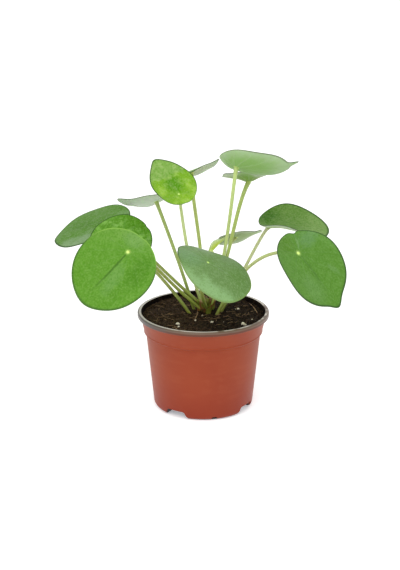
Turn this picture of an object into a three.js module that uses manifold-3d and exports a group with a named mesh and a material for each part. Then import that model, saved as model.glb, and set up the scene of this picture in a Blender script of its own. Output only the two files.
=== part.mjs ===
// Potted Chinese money plant: a 12 cm nursery pot, its compost, a short stem and thirteen round leaves.
// Millimetres, +Z up. The origin is the middle of the pot's underside, and the plant's front faces -Y.
import * as THREE from 'three';
import { mergeVertices } from 'three/addons/utils/BufferGeometryUtils.js';
import Module from 'manifold-3d';

const wasm = await Module();
wasm.setup();

const DEGREE = Math.PI / 180;

// Room left between two pieces that touch
const CLEARANCE = 0.3;

// Pot
const POT_HEIGHT = 90;
const RIM_RADIUS = 60;
const RIM_INNER_RADIUS = 56.4;
const RIM_DEPTH = 4;
const RIM_ROUNDING = 0.9;
const LIP_SLOPE = 0.2;
const COLLAR_TOP_RADIUS = 57;
const COLLAR_FOOT_RADIUS = 54;
const STEP_TOP = 71.3;
const STEP_FOOT = 70;
const BODY_TOP_RADIUS = 52.4;
const BODY_FOOT_RADIUS = 45.8;
const CORNER_HEIGHT = 5;
const CORNER_TURNS = [0, 30, 60];
const FOOT_RADIUS = 41.5;
const WALL = 1.3;
const FLOOR = 1.6;
const POT_SIDES = 48;

// Drain arches and the small notches half way between them, each a tunnel that runs in under the floor.
// Tools that cut a face reach past it by OVERCUT.
const ARCH_TURNS = [-34, 60, 145, 244];
const ARCH = { width: 26, topWidth: 18, height: 7.2, reach: 17 };
const NOTCH = { width: 5.5, topWidth: 4.5, height: 3.4, reach: 4 };
const DRAIN_RADIUS = 3.6;
const DRAIN_SIDES = 16;
const OVERCUT = 1;

// Compost
const SOIL_EDGE_HEIGHT = 86;
const SOIL_MOUND = 0.5;
const SOIL_MOUND_RADIUS = 22;
const CRUMB_HEIGHT = 0.6;
const CRUMB_WAVES = {
  across: 0.83, along: 0.71, shift: 1.1, fineAcross: 1.9, fineAlong: 1.3, fineShare: 0.6,
};
const SOIL_FLARE = 2.6;
const SOIL_RINGS = [7, 15, 23, 31, 39, 46];
const PERLITE = [
  { x: -22.7, y: -28.2, radius: 1.9 },
  { x: -22, y: -35.3, radius: 1.1 },
  { x: -7.1, y: -18.8, radius: 1.1 },
  { x: -1, y: -5, radius: 1 },
  { x: 8, y: -22.2, radius: 1.3 },
  { x: 32.2, y: 13.3, radius: 1.2 },
  { x: 36.2, y: -28.2, radius: 1.9 },
  { x: 24.4, y: -17.2, radius: 0.8 },
  { x: 43.9, y: -15.4, radius: 0.8 },
];
const PERLITE_SINK = 0.1;

// Main stem, with the dry scales at the feet of the leaf stalks
const STEM_X = 2.5;
const STEM_Y = 6.8;
const STEM_RADIUS = 4;
const STEM_FOOT = 70;
const STEM_TOP = 100;
const STEM_SIDES = 16;
const STEM_DOME = [{ radius: 0.85, rise: 0.5 }, { radius: 0.5, rise: 0.85 }];
const SCALE_COUNT = 5;
const SCALE_SIDES = 6;
const SCALE_LENGTH = 7;
const SCALE_WIDTH = 3;
const SCALE_THICKNESS = 0.9;
const SCALE_SINK = 1.6;
const SCALE_DROP = 2;
const SCALE_RINGS = [
  { share: 0, width: 1, thickness: 1 },
  { share: 0.5, width: 0.6, thickness: 0.75 },
  { share: 1, width: 0.2, thickness: 0.5 },
];
const GOLDEN_ANGLE = 137.5;

// Leaves
const BLADE_THICKNESS = 1;
const BLADE_RIM_THICKNESS = 0.7;
const BLADE_SIDES = 32;
const SMALL_BLADE_SIDES = 24;
const SMALL_BLADE_LENGTH = 50;
const BLADE_RINGS = [0.13, 0.42, 0.74, 1];
const NICK_SPREAD = 5;
const RIM_WAVE = 0.5;
const RIM_WAVE_COUNT = 5;
const SLOPE_STEP = 0.01;
const SUNK_FOOT = 79;
const STALK_FOOT_RADIUS = 1.5;
const STALK_SIDES = 8;
const STALK_STEPS = 12;

// Colours
const TERRACOTTA = new THREE.MeshStandardMaterial({ color: 0xa85434, roughness: 0.45, metalness: 0 });
const COMPOST = new THREE.MeshStandardMaterial({ color: 0x2b1d15, roughness: 0.95, metalness: 0 });
const STEM_GREEN = new THREE.MeshStandardMaterial({ color: 0x8d7a45, roughness: 0.7, metalness: 0 });
const STALK_GREEN = new THREE.MeshStandardMaterial({ color: 0xa3ad62, roughness: 0.45, metalness: 0 });
const LEAF_GREEN = new THREE.MeshStandardMaterial({ color: 0x5a9440, roughness: 0.4, metalness: 0 });

// A point beside the stem where a stalk of full thickness stands clear of it
function onStem(turn, height) {
  const reach = STEM_RADIUS + CLEARANCE + STALK_FOOT_RADIUS;
  const angle = turn * DEGREE;
  return [STEM_X + reach * Math.cos(angle), STEM_Y + reach * Math.sin(angle), height];
}

// Every leaf: at is where its stalk meets the blade. lean is the compass direction that the upper face
// leans to, tilt is how far it leans, and turn takes the tip round from straight downhill.
// length, width: the blade's size. foot: where the stalk sits, as a share of the length from the base.
// egg: how much the tip end narrows. point: how far the tip is drawn out, and sharp how thin.
// arch, roll: how far the blade curves down along and across. twist: how far it winds.
// nick: depth of the cut in the base, and nickAt its turn from the tip.
// dimple, dimpleRadius: the hollow over the stalk.
// base is the foot of the stalk, bend holds the two handles of its curve, and thick is its radius at the top.
const USUAL = { sharp: 12, nick: 0.4, nickAt: 180, dimple: 0.7, dimpleRadius: 4, thick: 1.55 };
const LEAVES = [
  {
    name: 'leaf_front_left', at: [-64.9, -54, 162], lean: 268.5, tilt: 54, turn: -37.4,
    length: 76.1, width: 70.6, foot: 0.236, egg: 0.05, point: 1.4,
    arch: 0.023, roll: -0.045, twist: 0.012, nick: 0.6,
    base: onStem(204, 90.5), bend: [[-39.2, 4.6, 120.1], [-47.2, -28.5, 153.8]],
  },
  {
    name: 'leaf_far_left', at: [-92, 30, 165.4], lean: 207, tilt: 20, turn: -42,
    length: 74.7, width: 71.4, foot: 0.34, egg: 0.07, point: 1.8,
    arch: 0.1, roll: 0.03, twist: -0.03,
    base: onStem(172, 94.5), bend: [[-34.3, 4.3, 122.2], [-70.6, 48.7, 152.4]],
  },
  {
    name: 'leaf_mid_left', at: [-71.9, -12, 163], lean: 268.4, tilt: 35.5, turn: -58.4,
    length: 57.2, width: 55.2, foot: 0.452, egg: 0.123, point: 1,
    arch: 0.085, roll: 0.101, twist: 0.003, nick: 0.8,
    base: [-8.2, 1.7, SUNK_FOOT], bend: [[-27.9, 0.5, 114.8], [-71.7, 15.9, 151.5]],
  },
  {
    name: 'leaf_back_left', at: [-43, 25, 186.8], lean: 125.7, tilt: 31, turn: 74.5,
    length: 45.2, width: 42, foot: 0.333, egg: 0.102, point: 4.3,
    arch: -0.179, roll: -0.044, twist: -0.048,
    base: [-6.6, 12, SUNK_FOOT], bend: [[-16.9, 18.4, 116.8], [-35.2, 14.1, 168.9]], thick: 1.75,
  },
  {
    name: 'leaf_upper_left', at: [-21.5, -15, 203.2], lean: 292.5, tilt: 40.1, turn: 195.7,
    length: 48.6, width: 39.4, foot: 0.233, egg: 0.223, point: 4.1,
    arch: 0.003, roll: -0.154, twist: -0.154,
    base: onStem(236, 95), bend: [[-14.9, 2.9, 129.7], [-20.1, 11.9, 187.9]], thick: 1.4,
  },
  {
    name: 'leaf_back_middle', at: [-10.9, 34, 211.9], lean: 133, tilt: 27.2, turn: -141.5,
    length: 38.8, width: 36.9, foot: 0.338, egg: 0.077, point: 2,
    arch: -0.045, roll: 0.137, twist: -0.007,
    base: onStem(132, 95), bend: [[2.3, 16.1, 137.7], [-11.3, 21.5, 187.7]], thick: 1.7,
  },
  {
    name: 'leaf_top', at: [29.4, 3, 223.7], lean: 53.4, tilt: 36.9, turn: -72.3,
    length: 61.7, width: 57.4, foot: 0.273, egg: 0.009, point: 6.7, sharp: 150,
    arch: -0.238, roll: -0.216, twist: 0.028,
    base: onStem(21, 95), bend: [[22.3, 15.8, 138.1], [24.5, -16.8, 199.4]], thick: 1.65,
  },
  {
    name: 'leaf_under_top', at: [41.5, 44, 203.4], lean: 96.4, tilt: 21.7, turn: 45,
    length: 40.7, width: 37.7, foot: 0.365, egg: 0.123, point: 3.2,
    arch: -0.108, roll: -0.176, twist: 0.031, dimple: 3.5, dimpleRadius: 8,
    base: onStem(56, 92), bend: [[24.7, 20.1, 125.8], [28.1, 24.5, 179.2]], thick: 1.9,
  },
  {
    name: 'leaf_upper_right', at: [59.3, 12, 168.3], lean: 27.8, tilt: 8.6, turn: -12.5,
    length: 62.8, width: 59.8, foot: 0.13, egg: 0.135, point: 3.6,
    arch: 0.002, roll: -0.247, twist: 0.287, dimple: 3, dimpleRadius: 9,
    base: [11.5, 4.5, SUNK_FOOT], bend: [[33, 13.5, 112.3], [51.6, 21.2, 155.5]],
  },
  {
    name: 'leaf_right', at: [82.5, -41, 157.1], lean: 312.9, tilt: 47.9, turn: 18.2,
    length: 73.4, width: 69.7, foot: 0.27, egg: 0.113, point: 5.5, sharp: 40,
    arch: 0.06, roll: -0.165, twist: 0.173, nick: 2.2, nickAt: 160,
    base: [8.9, -3.6, SUNK_FOOT], bend: [[36.8, 13.3, 140.6], [62.5, -14.2, 152.9]],
  },
  {
    name: 'leaf_front', at: [4, -55, 153], lean: 330.7, tilt: 30.1, turn: 25.1,
    length: 71.8, width: 67.6, foot: 0.399, egg: 0.057, point: 0.8,
    arch: 0.093, roll: 0.249, twist: 0.221, nick: 0.6,
    base: onStem(275, 92), bend: [[-1, -20, 109], [-6, -48, 131]],
  },
  {
    name: 'leaf_inner_right', at: [30.1, 47, 146.1], lean: 113.6, tilt: 32.5, turn: -73.7,
    length: 43.7, width: 40.5, foot: 0.36, egg: 0.099, point: 2.5,
    arch: -0.085, roll: 0.071, twist: -0.001,
    base: onStem(98, 91.5), bend: [[24.3, 28.7, 106.8], [18.2, 38.5, 140.3]],
  },
  {
    name: 'leaf_young', at: [6.5, 9, 143.8], lean: 129, tilt: 60, turn: -148,
    length: 22, width: 9, foot: 0.1, egg: 0.1, point: 1,
    arch: 0.05, roll: -0.5, twist: 0,
    base: onStem(335, 93), bend: [[13.3, 2.7, 109], [15, -1.4, 135.9]],
  },
].map((leaf) => ({ ...USUAL, ...leaf }));

const plant = new THREE.Group();

// A solid from a closed mesh, whose corners are merged and whose empty triangles are left out
function solidOf(geometry) {
  const bare = geometry.clone();
  bare.deleteAttribute('normal');
  bare.deleteAttribute('uv');
  const merged = mergeVertices(bare, 1e-4);
  const index = merged.index.array;
  const triVerts = [];
  for (let i = 0; i < index.length; i += 3) {
    const [a, b, c] = [index[i], index[i + 1], index[i + 2]];
    if (a !== b && b !== c && c !== a) triVerts.push(a, b, c);
  }
  const mesh = new wasm.Mesh({
    numProp: 3,
    vertProperties: new Float32Array(merged.attributes.position.array),
    triVerts: new Uint32Array(triVerts),
  });
  return new wasm.Manifold(mesh);
}

function geometryOf(solid) {
  const mesh = solid.getMesh();
  const geometry = new THREE.BufferGeometry();
  geometry.setAttribute('position', new THREE.BufferAttribute(mesh.vertProperties, 3));
  geometry.setIndex(new THREE.BufferAttribute(mesh.triVerts, 1));
  geometry.computeVertexNormals();
  return geometry;
}

function geometryFrom(points, triangles) {
  const geometry = new THREE.BufferGeometry().setFromPoints(points);
  geometry.setIndex(triangles);
  geometry.computeVertexNormals();
  return geometry;
}

function addMesh(name, geometry, material) {
  const mesh = new THREE.Mesh(geometry, material);
  mesh.name = name;
  plant.add(mesh);
  return mesh;
}

// A closed body through rings of points, with one point at each end. Every ring runs anticlockwise
// when it is seen from the last point.
function ringBody(first, rings, last) {
  const sides = rings[0].length;
  const points = [first, ...rings.flat(), last];
  const triangles = [];
  for (let side = 0; side < sides; side++) {
    const next = (side + 1) % sides;
    triangles.push(0, 1 + next, 1 + side);
    for (let ring = 0; ring + 1 < rings.length; ring++) {
      const near = 1 + ring * sides;
      const far = near + sides;
      triangles.push(near + side, near + next, far + side);
      triangles.push(near + next, far + next, far + side);
    }
    const end = 1 + (rings.length - 1) * sides;
    triangles.push(end + side, end + next, points.length - 1);
  }
  return geometryFrom(points, triangles);
}

function circle(radius, height, sides) {
  const points = [];
  for (let side = 0; side < sides; side++) {
    const angle = (side / sides) * 2 * Math.PI;
    points.push(new THREE.Vector3(radius * Math.cos(angle), radius * Math.sin(angle), height));
  }
  return points;
}

// A body turned round the Z axis from pairs of radius and height, listed from the bottom up
function turned(profile, sides) {
  const rings = profile.map(([radius, height]) => circle(radius, height, sides));
  const bottom = new THREE.Vector3(0, 0, profile[0][1]);
  const top = new THREE.Vector3(0, 0, profile[profile.length - 1][1]);
  return ringBody(bottom, rings, top);
}

// Pot: the outside, less the space inside, less the arches, the drain holes and the notches
function potOutside() {
  const corner = CORNER_TURNS.map((angle) => [
    FOOT_RADIUS + (BODY_FOOT_RADIUS - FOOT_RADIUS) * Math.sin(angle * DEGREE),
    CORNER_HEIGHT * (1 - Math.cos(angle * DEGREE)),
  ]);
  return turned([
    ...corner,
    [BODY_FOOT_RADIUS, CORNER_HEIGHT],
    [BODY_TOP_RADIUS, STEP_FOOT],
    [COLLAR_FOOT_RADIUS, STEP_TOP],
    [COLLAR_TOP_RADIUS, POT_HEIGHT - RIM_DEPTH],
    [RIM_RADIUS - RIM_ROUNDING, POT_HEIGHT - RIM_DEPTH + LIP_SLOPE],
    [RIM_RADIUS, POT_HEIGHT - RIM_DEPTH + RIM_ROUNDING],
    [RIM_RADIUS, POT_HEIGHT - RIM_ROUNDING],
    [RIM_RADIUS - RIM_ROUNDING, POT_HEIGHT],
  ], POT_SIDES);
}

// The walls of the space inside, drawn in by a margin, as pairs of radius and height
function innerProfile(margin) {
  return [
    [FOOT_RADIUS - WALL - margin, FLOOR + margin],
    [BODY_FOOT_RADIUS - WALL - margin, CORNER_HEIGHT + margin],
    [BODY_TOP_RADIUS - WALL - margin, STEP_FOOT + margin],
    [COLLAR_FOOT_RADIUS - WALL - margin, STEP_TOP + margin],
  ];
}

function potInside() {
  return turned([
    ...innerProfile(0),
    [COLLAR_TOP_RADIUS - WALL, POT_HEIGHT - RIM_DEPTH],
    [RIM_INNER_RADIUS, POT_HEIGHT - RIM_ROUNDING],
    [RIM_INNER_RADIUS + RIM_ROUNDING / 2, POT_HEIGHT],
    [RIM_INNER_RADIUS + RIM_ROUNDING / 2, POT_HEIGHT + OVERCUT],
  ], POT_SIDES);
}

// A tunnel with sloping sides that runs outwards from under the pot's floor, larger by a margin
function tunnelTool(size, angle, margin) {
  const half = size.width / 2 + margin;
  const topHalf = size.topWidth / 2 + margin;
  const section = new THREE.Shape();
  section.moveTo(-half, -OVERCUT);
  section.lineTo(half, -OVERCUT);
  section.lineTo(half, 0);
  section.lineTo(topHalf, size.height + margin);
  section.lineTo(-topHalf, size.height + margin);
  section.lineTo(-half, 0);
  const tunnel = new THREE.ExtrudeGeometry(section, { depth: size.reach * 2 + margin, bevelEnabled: false });
  tunnel.rotateX(Math.PI / 2);
  tunnel.translate(0, -(BODY_FOOT_RADIUS - size.reach - margin), 0);
  tunnel.rotateZ(angle * DEGREE);
  return solidOf(tunnel);
}

// Every tunnel under the pot: an arch at each of its turns, and a notch half way to the next arch
function tunnelTools(margin) {
  return ARCH_TURNS.flatMap((turn, count) => {
    const next = ARCH_TURNS[count + 1] ?? ARCH_TURNS[0] + 360;
    return [tunnelTool(ARCH, turn, margin), tunnelTool(NOTCH, (turn + next) / 2, margin)];
  });
}

function drainTool(turn) {
  const drain = new THREE.CylinderGeometry(DRAIN_RADIUS, DRAIN_RADIUS, ARCH.height, DRAIN_SIDES);
  drain.rotateX(Math.PI / 2);
  drain.translate(0, -(BODY_FOOT_RADIUS - ARCH.reach / 2 - WALL), ARCH.height);
  drain.rotateZ(turn * DEGREE);
  return solidOf(drain);
}

function buildPot() {
  let inside = solidOf(potInside());
  for (const tool of tunnelTools(WALL)) inside = inside.subtract(tool);
  let pot = solidOf(potOutside()).subtract(inside);
  for (const tool of [...tunnelTools(0), ...ARCH_TURNS.map(drainTool)]) pot = pot.subtract(tool);
  addMesh('pot', geometryOf(pot), TERRACOTTA);
}

// Leaves
function bladeHeight(leaf, x, y) {
  const dimple = leaf.dimple * Math.exp(-(x * x + y * y) / leaf.dimpleRadius ** 2);
  const bow = (leaf.arch * x * x - leaf.twist * x * y) / (leaf.length / 2);
  return -bow - (leaf.roll * y * y) / (leaf.width / 2) - dimple;
}

// A point on a blade's edge. angle is in degrees from the tip.
function bladeOutline(leaf, angle) {
  const along = Math.cos(angle * DEGREE);
  const aside = Math.abs(angle - leaf.nickAt) % 360;
  const nick = leaf.nick * Math.exp(-((Math.min(aside, 360 - aside) / NICK_SPREAD) ** 2));
  const x = (leaf.length / 2) * along + leaf.point * Math.max(0, along) ** leaf.sharp + nick;
  const y = (leaf.width / 2) * Math.sin(angle * DEGREE) * (1 - leaf.egg * along);
  return [x + (0.5 - leaf.foot) * leaf.length, y];
}

function bladeSides(leaf) {
  return leaf.length < SMALL_BLADE_LENGTH ? SMALL_BLADE_SIDES : BLADE_SIDES;
}

// One face of a blade, half the thickness above or below its middle surface
function bladeFace(leaf, side) {
  const sides = bladeSides(leaf);
  const points = [new THREE.Vector3(0, 0, -leaf.dimple + (side * BLADE_THICKNESS) / 2)];
  for (const share of BLADE_RINGS) {
    const thickness = BLADE_THICKNESS + (BLADE_RIM_THICKNESS - BLADE_THICKNESS) * share;
    for (let count = 0; count < sides; count++) {
      const angle = (count / sides) * 360 - 180;
      const [rimX, rimY] = bladeOutline(leaf, angle);
      const [x, y] = [rimX * share, rimY * share];
      const wave = RIM_WAVE * share ** 3 * Math.sin(RIM_WAVE_COUNT * angle * DEGREE + leaf.length);
      const height = bladeHeight(leaf, x, y);
      const slopeX = (bladeHeight(leaf, x + SLOPE_STEP, y) - height) / SLOPE_STEP;
      const slopeY = (bladeHeight(leaf, x, y + SLOPE_STEP) - height) / SLOPE_STEP;
      const out = new THREE.Vector3(-slopeX, -slopeY, 1).setLength((side * thickness) / 2);
      points.push(new THREE.Vector3(x, y, height + wave).add(out));
    }
  }
  return points;
}

// A blade: two faces split into triangles alike, and the rim between them
function bladeGeometry(leaf) {
  const upper = bladeFace(leaf, 1);
  const lower = bladeFace(leaf, -1);
  const under = upper.length;
  const sides = bladeSides(leaf);
  const triangles = [];
  const addBoth = (a, b, c) => triangles.push(a, b, c, under + a, under + c, under + b);
  for (let side = 0; side < sides; side++) {
    const next = (side + 1) % sides;
    addBoth(0, 1 + side, 1 + next);
    for (let ring = 0; ring + 1 < BLADE_RINGS.length; ring++) {
      const near = 1 + ring * sides;
      const far = near + sides;
      addBoth(near + side, far + side, near + next);
      addBoth(near + next, far + side, far + next);
    }
    const rim = 1 + (BLADE_RINGS.length - 1) * sides;
    triangles.push(rim + side, under + rim + side, rim + next);
    triangles.push(rim + next, under + rim + side, under + rim + next);
  }
  return geometryFrom([...upper, ...lower], triangles);
}

function placeBlade(leaf) {
  const blade = addMesh(`${leaf.name}_blade`, bladeGeometry(leaf), LEAF_GREEN);
  blade.position.set(...leaf.at);
  blade.rotateZ(leaf.lean * DEGREE).rotateY(leaf.tilt * DEGREE).rotateZ(leaf.turn * DEGREE);
  return blade;
}

// The line of a stalk, from its foot to just under the blade
function stalkCurve(leaf, upward) {
  const under = leaf.dimple + BLADE_THICKNESS / 2 + CLEARANCE;
  const top = new THREE.Vector3(...leaf.at).addScaledVector(upward, -under);
  const handles = leaf.bend.map((point) => new THREE.Vector3(...point));
  return new THREE.CubicBezierCurve3(new THREE.Vector3(...leaf.base), ...handles, top);
}

// A round tapering body along a curve. Its far end is cut square across facing, where that is given.
function taperedTube(curve, footRadius, topRadius, sides, steps, facing) {
  const frames = curve.computeFrenetFrames(steps, false);
  const rings = [];
  for (let step = 0; step <= steps; step++) {
    const share = step / steps;
    const radius = footRadius + (topRadius - footRadius) * share;
    const centre = curve.getPointAt(share);
    const ring = [];
    for (let side = 0; side < sides; side++) {
      const angle = (side / sides) * 2 * Math.PI;
      const across = frames.normals[step].clone().multiplyScalar(radius * Math.cos(angle));
      const beside = frames.binormals[step].clone().multiplyScalar(radius * Math.sin(angle));
      ring.push(centre.clone().add(across).add(beside));
    }
    rings.push(ring);
  }
  if (facing) {
    const [end, along] = [curve.getPointAt(1), frames.tangents[steps]];
    for (const point of rings[steps]) {
      const over = point.clone().sub(end).dot(facing) / along.dot(facing);
      point.addScaledVector(along, -over);
    }
  }
  return ringBody(curve.getPointAt(0), rings, curve.getPointAt(1));
}

function buildLeaf(leaf) {
  const blade = placeBlade(leaf);
  const upward = new THREE.Vector3(0, 0, 1).applyQuaternion(blade.quaternion);
  const curve = stalkCurve(leaf, upward);
  const stalk = taperedTube(curve, STALK_FOOT_RADIUS, leaf.thick, STALK_SIDES, STALK_STEPS, upward);
  addMesh(`${leaf.name}_stalk`, stalk, STALK_GREEN);
  return curve;
}

// Stem: a short upright trunk with a domed tip, and small scales that grow out of its sides
function scaleGeometry(turn, height) {
  const rings = SCALE_RINGS.map(({ share, width, thickness }) => {
    const scale = new THREE.Vector3(SCALE_THICKNESS * thickness, SCALE_WIDTH * width, 1);
    return circle(0.5, SCALE_LENGTH * share, SCALE_SIDES).map((point) => point.multiply(scale));
  });
  const geometry = ringBody(new THREE.Vector3(0, 0, 0), rings, new THREE.Vector3(0, 0, SCALE_LENGTH));
  geometry.translate(STEM_RADIUS - SCALE_SINK, 0, height);
  geometry.rotateZ(turn * DEGREE);
  return geometry;
}

function buildStem() {
  const neck = STEM_TOP - STEM_RADIUS;
  let stem = solidOf(turned([
    [STEM_RADIUS, STEM_FOOT],
    [STEM_RADIUS, neck],
    ...STEM_DOME.map(({ radius, rise }) => [STEM_RADIUS * radius, neck + STEM_RADIUS * rise]),
  ], STEM_SIDES));
  for (let count = 0; count < SCALE_COUNT; count++) {
    stem = stem.add(solidOf(scaleGeometry(GOLDEN_ANGLE * count, neck - SCALE_DROP)));
  }
  const mesh = addMesh('stem', geometryOf(stem), STEM_GREEN);
  mesh.position.set(STEM_X, STEM_Y, 0);
}

// Compost: it fills the pot up to its crumbled surface, and the stem and four stalks stand in holes in it
function soilHeight(x, y) {
  const fromStem = Math.hypot(x - STEM_X, y - STEM_Y);
  const mound = SOIL_MOUND * Math.exp(-((fromStem / SOIL_MOUND_RADIUS) ** 2));
  const { across, along, shift, fineAcross, fineAlong, fineShare } = CRUMB_WAVES;
  const coarse = Math.sin(across * x + shift) * Math.cos(along * y);
  const fine = Math.sin(fineAcross * x - fineAlong * y) * fineShare;
  return SOIL_EDGE_HEIGHT + mound + CRUMB_HEIGHT * (coarse + fine);
}

function soilBody() {
  const sides = innerProfile(CLEARANCE).map(([radius, height]) => circle(radius, height, POT_SIDES));
  const edge = COLLAR_FOOT_RADIUS - WALL - CLEARANCE + SOIL_FLARE;
  const surface = [edge, ...SOIL_RINGS.toReversed()].map((radius) => {
    const ring = circle(radius, 0, POT_SIDES);
    for (const point of ring) point.setZ(soilHeight(point.x, point.y));
    return ring;
  });
  const bottom = new THREE.Vector3(0, 0, FLOOR + CLEARANCE);
  const top = new THREE.Vector3(0, 0, soilHeight(0, 0));
  return solidOf(ringBody(bottom, [...sides, ...surface], top));
}

function buildSoil(sunkCurves) {
  let soil = soilBody();
  for (const { x, y, radius } of PERLITE) {
    const grain = new THREE.IcosahedronGeometry(radius, 0);
    grain.rotateZ(x);
    grain.translate(x, y, soilHeight(x, y) + radius * PERLITE_SINK);
    soil = soil.add(solidOf(grain));
  }
  for (const tool of tunnelTools(WALL + CLEARANCE)) soil = soil.subtract(tool);
  const depth = POT_HEIGHT - STEM_FOOT + CLEARANCE;
  const room = STEM_RADIUS + CLEARANCE;
  const stemHole = new THREE.CylinderGeometry(room, room, depth, STEM_SIDES);
  stemHole.rotateX(Math.PI / 2);
  stemHole.translate(STEM_X, STEM_Y, POT_HEIGHT - depth / 2);
  soil = soil.subtract(solidOf(stemHole));
  for (const curve of sunkCurves) {
    const wide = STALK_FOOT_RADIUS + 2 * CLEARANCE;
    const hole = curve.clone();
    hole.v0.addScaledVector(curve.getTangent(0), -CLEARANCE);
    soil = soil.subtract(solidOf(taperedTube(hole, wide, wide, STALK_SIDES, STALK_STEPS)));
  }
  addMesh('soil', geometryOf(soil), COMPOST);
}

buildPot();
buildStem();
const curves = LEAVES.map(buildLeaf);
buildSoil(curves.filter((curve) => curve.v0.z < SOIL_EDGE_HEIGHT));

export default plant;
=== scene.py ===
# Potted Chinese money plant: thirteen round leaves on long stalks, over a small nursery pot of compost.
# Metres, +Z up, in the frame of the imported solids. The plant's front faces -Y.
import math
import random

import bpy
from mathutils import Matrix, Vector, noise


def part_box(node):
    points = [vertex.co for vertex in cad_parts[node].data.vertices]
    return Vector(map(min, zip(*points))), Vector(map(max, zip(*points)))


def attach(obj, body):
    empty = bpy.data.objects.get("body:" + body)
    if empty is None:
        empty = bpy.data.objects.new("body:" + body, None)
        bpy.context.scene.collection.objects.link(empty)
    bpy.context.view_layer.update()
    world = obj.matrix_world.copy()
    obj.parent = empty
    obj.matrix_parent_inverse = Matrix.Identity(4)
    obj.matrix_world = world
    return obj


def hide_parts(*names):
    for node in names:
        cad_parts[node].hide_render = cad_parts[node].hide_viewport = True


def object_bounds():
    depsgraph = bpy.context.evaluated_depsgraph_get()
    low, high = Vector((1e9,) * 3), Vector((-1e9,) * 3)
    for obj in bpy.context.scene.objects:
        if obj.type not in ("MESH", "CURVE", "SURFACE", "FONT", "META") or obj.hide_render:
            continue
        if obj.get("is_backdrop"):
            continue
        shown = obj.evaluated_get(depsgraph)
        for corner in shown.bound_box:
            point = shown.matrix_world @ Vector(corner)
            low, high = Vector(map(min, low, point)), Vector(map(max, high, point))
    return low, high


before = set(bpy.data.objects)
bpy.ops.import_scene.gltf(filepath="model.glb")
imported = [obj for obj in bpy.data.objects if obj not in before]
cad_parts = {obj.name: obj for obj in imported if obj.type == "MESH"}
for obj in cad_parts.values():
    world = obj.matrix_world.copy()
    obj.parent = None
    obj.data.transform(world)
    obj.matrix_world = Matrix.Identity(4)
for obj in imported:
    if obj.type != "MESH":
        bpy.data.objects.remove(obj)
cad_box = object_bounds()
bpy.ops.object.select_all(action="DESELECT")

# Camera. It stands in front of the plant and looks a little down at it, as the photograph does.
CAMERA_PLACE = (-0.003, -1.2, 0.51)
CAMERA_PITCH = math.radians(18.25)
FRAME_HEIGHT_PIXELS = 570
FOCAL_PIXELS = 1393
SENSOR_HEIGHT = 36

bpy.ops.object.camera_add(location=CAMERA_PLACE, rotation=(math.pi / 2 - CAMERA_PITCH, 0, 0))
camera = bpy.context.object
camera.data.sensor_fit = "VERTICAL"
camera.data.sensor_height = SENSOR_HEIGHT
camera.data.lens = SENSOR_HEIGHT * FOCAL_PIXELS / FRAME_HEIGHT_PIXELS
bpy.context.scene.camera = camera
bpy.context.scene.view_settings.view_transform = "Standard"

# Studio light. White walls all round, with one large soft lamp above the plant and in front of it.
WALL_BRIGHTNESS = 0.98
LAMP_STRENGTH = 1.2
LAMP_SOFTNESS = math.radians(50)
LAMP_TURN = (math.radians(32), math.radians(-14), 0)

world = bpy.data.worlds.new("studio")
world.use_nodes = True
world.node_tree.nodes["Background"].inputs["Color"].default_value = (1, 1, 1, 1)
world.node_tree.nodes["Background"].inputs["Strength"].default_value = WALL_BRIGHTNESS
bpy.context.scene.world = world
bpy.ops.object.light_add(type="SUN", rotation=LAMP_TURN)
bpy.context.object.data.energy = LAMP_STRENGTH
bpy.context.object.data.angle = LAMP_SOFTNESS


def dye(red, green, blue):
    """A colour from its red, green and blue on a screen, from 0 to 255."""
    shares = [value / 255 for value in (red, green, blue)]
    return [share / 12.92 if share < 0.04045 else ((share + 0.055) / 1.055) ** 2.4 for share in shares] + [1]


# Floor. A wide sheet of matt white paper, which is only there for the plant to stand on. It glows a little,
# and more under the pot, so that the shadow there stays as light as the photograph shows it.
FLOOR_WIDTH = 16
PAPER_WHITE = dye(251, 251, 250)
PAPER_GREY = dye(249, 249, 248)
PAPER_GRAIN = 900
PAPER_GLOW = (0.1, 0.1, 0.1, 1)
PAPER_GLOW_UNDER = (0.34, 0.34, 0.36, 1)
GLOW_FADE = (0.05, 0.16)


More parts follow.
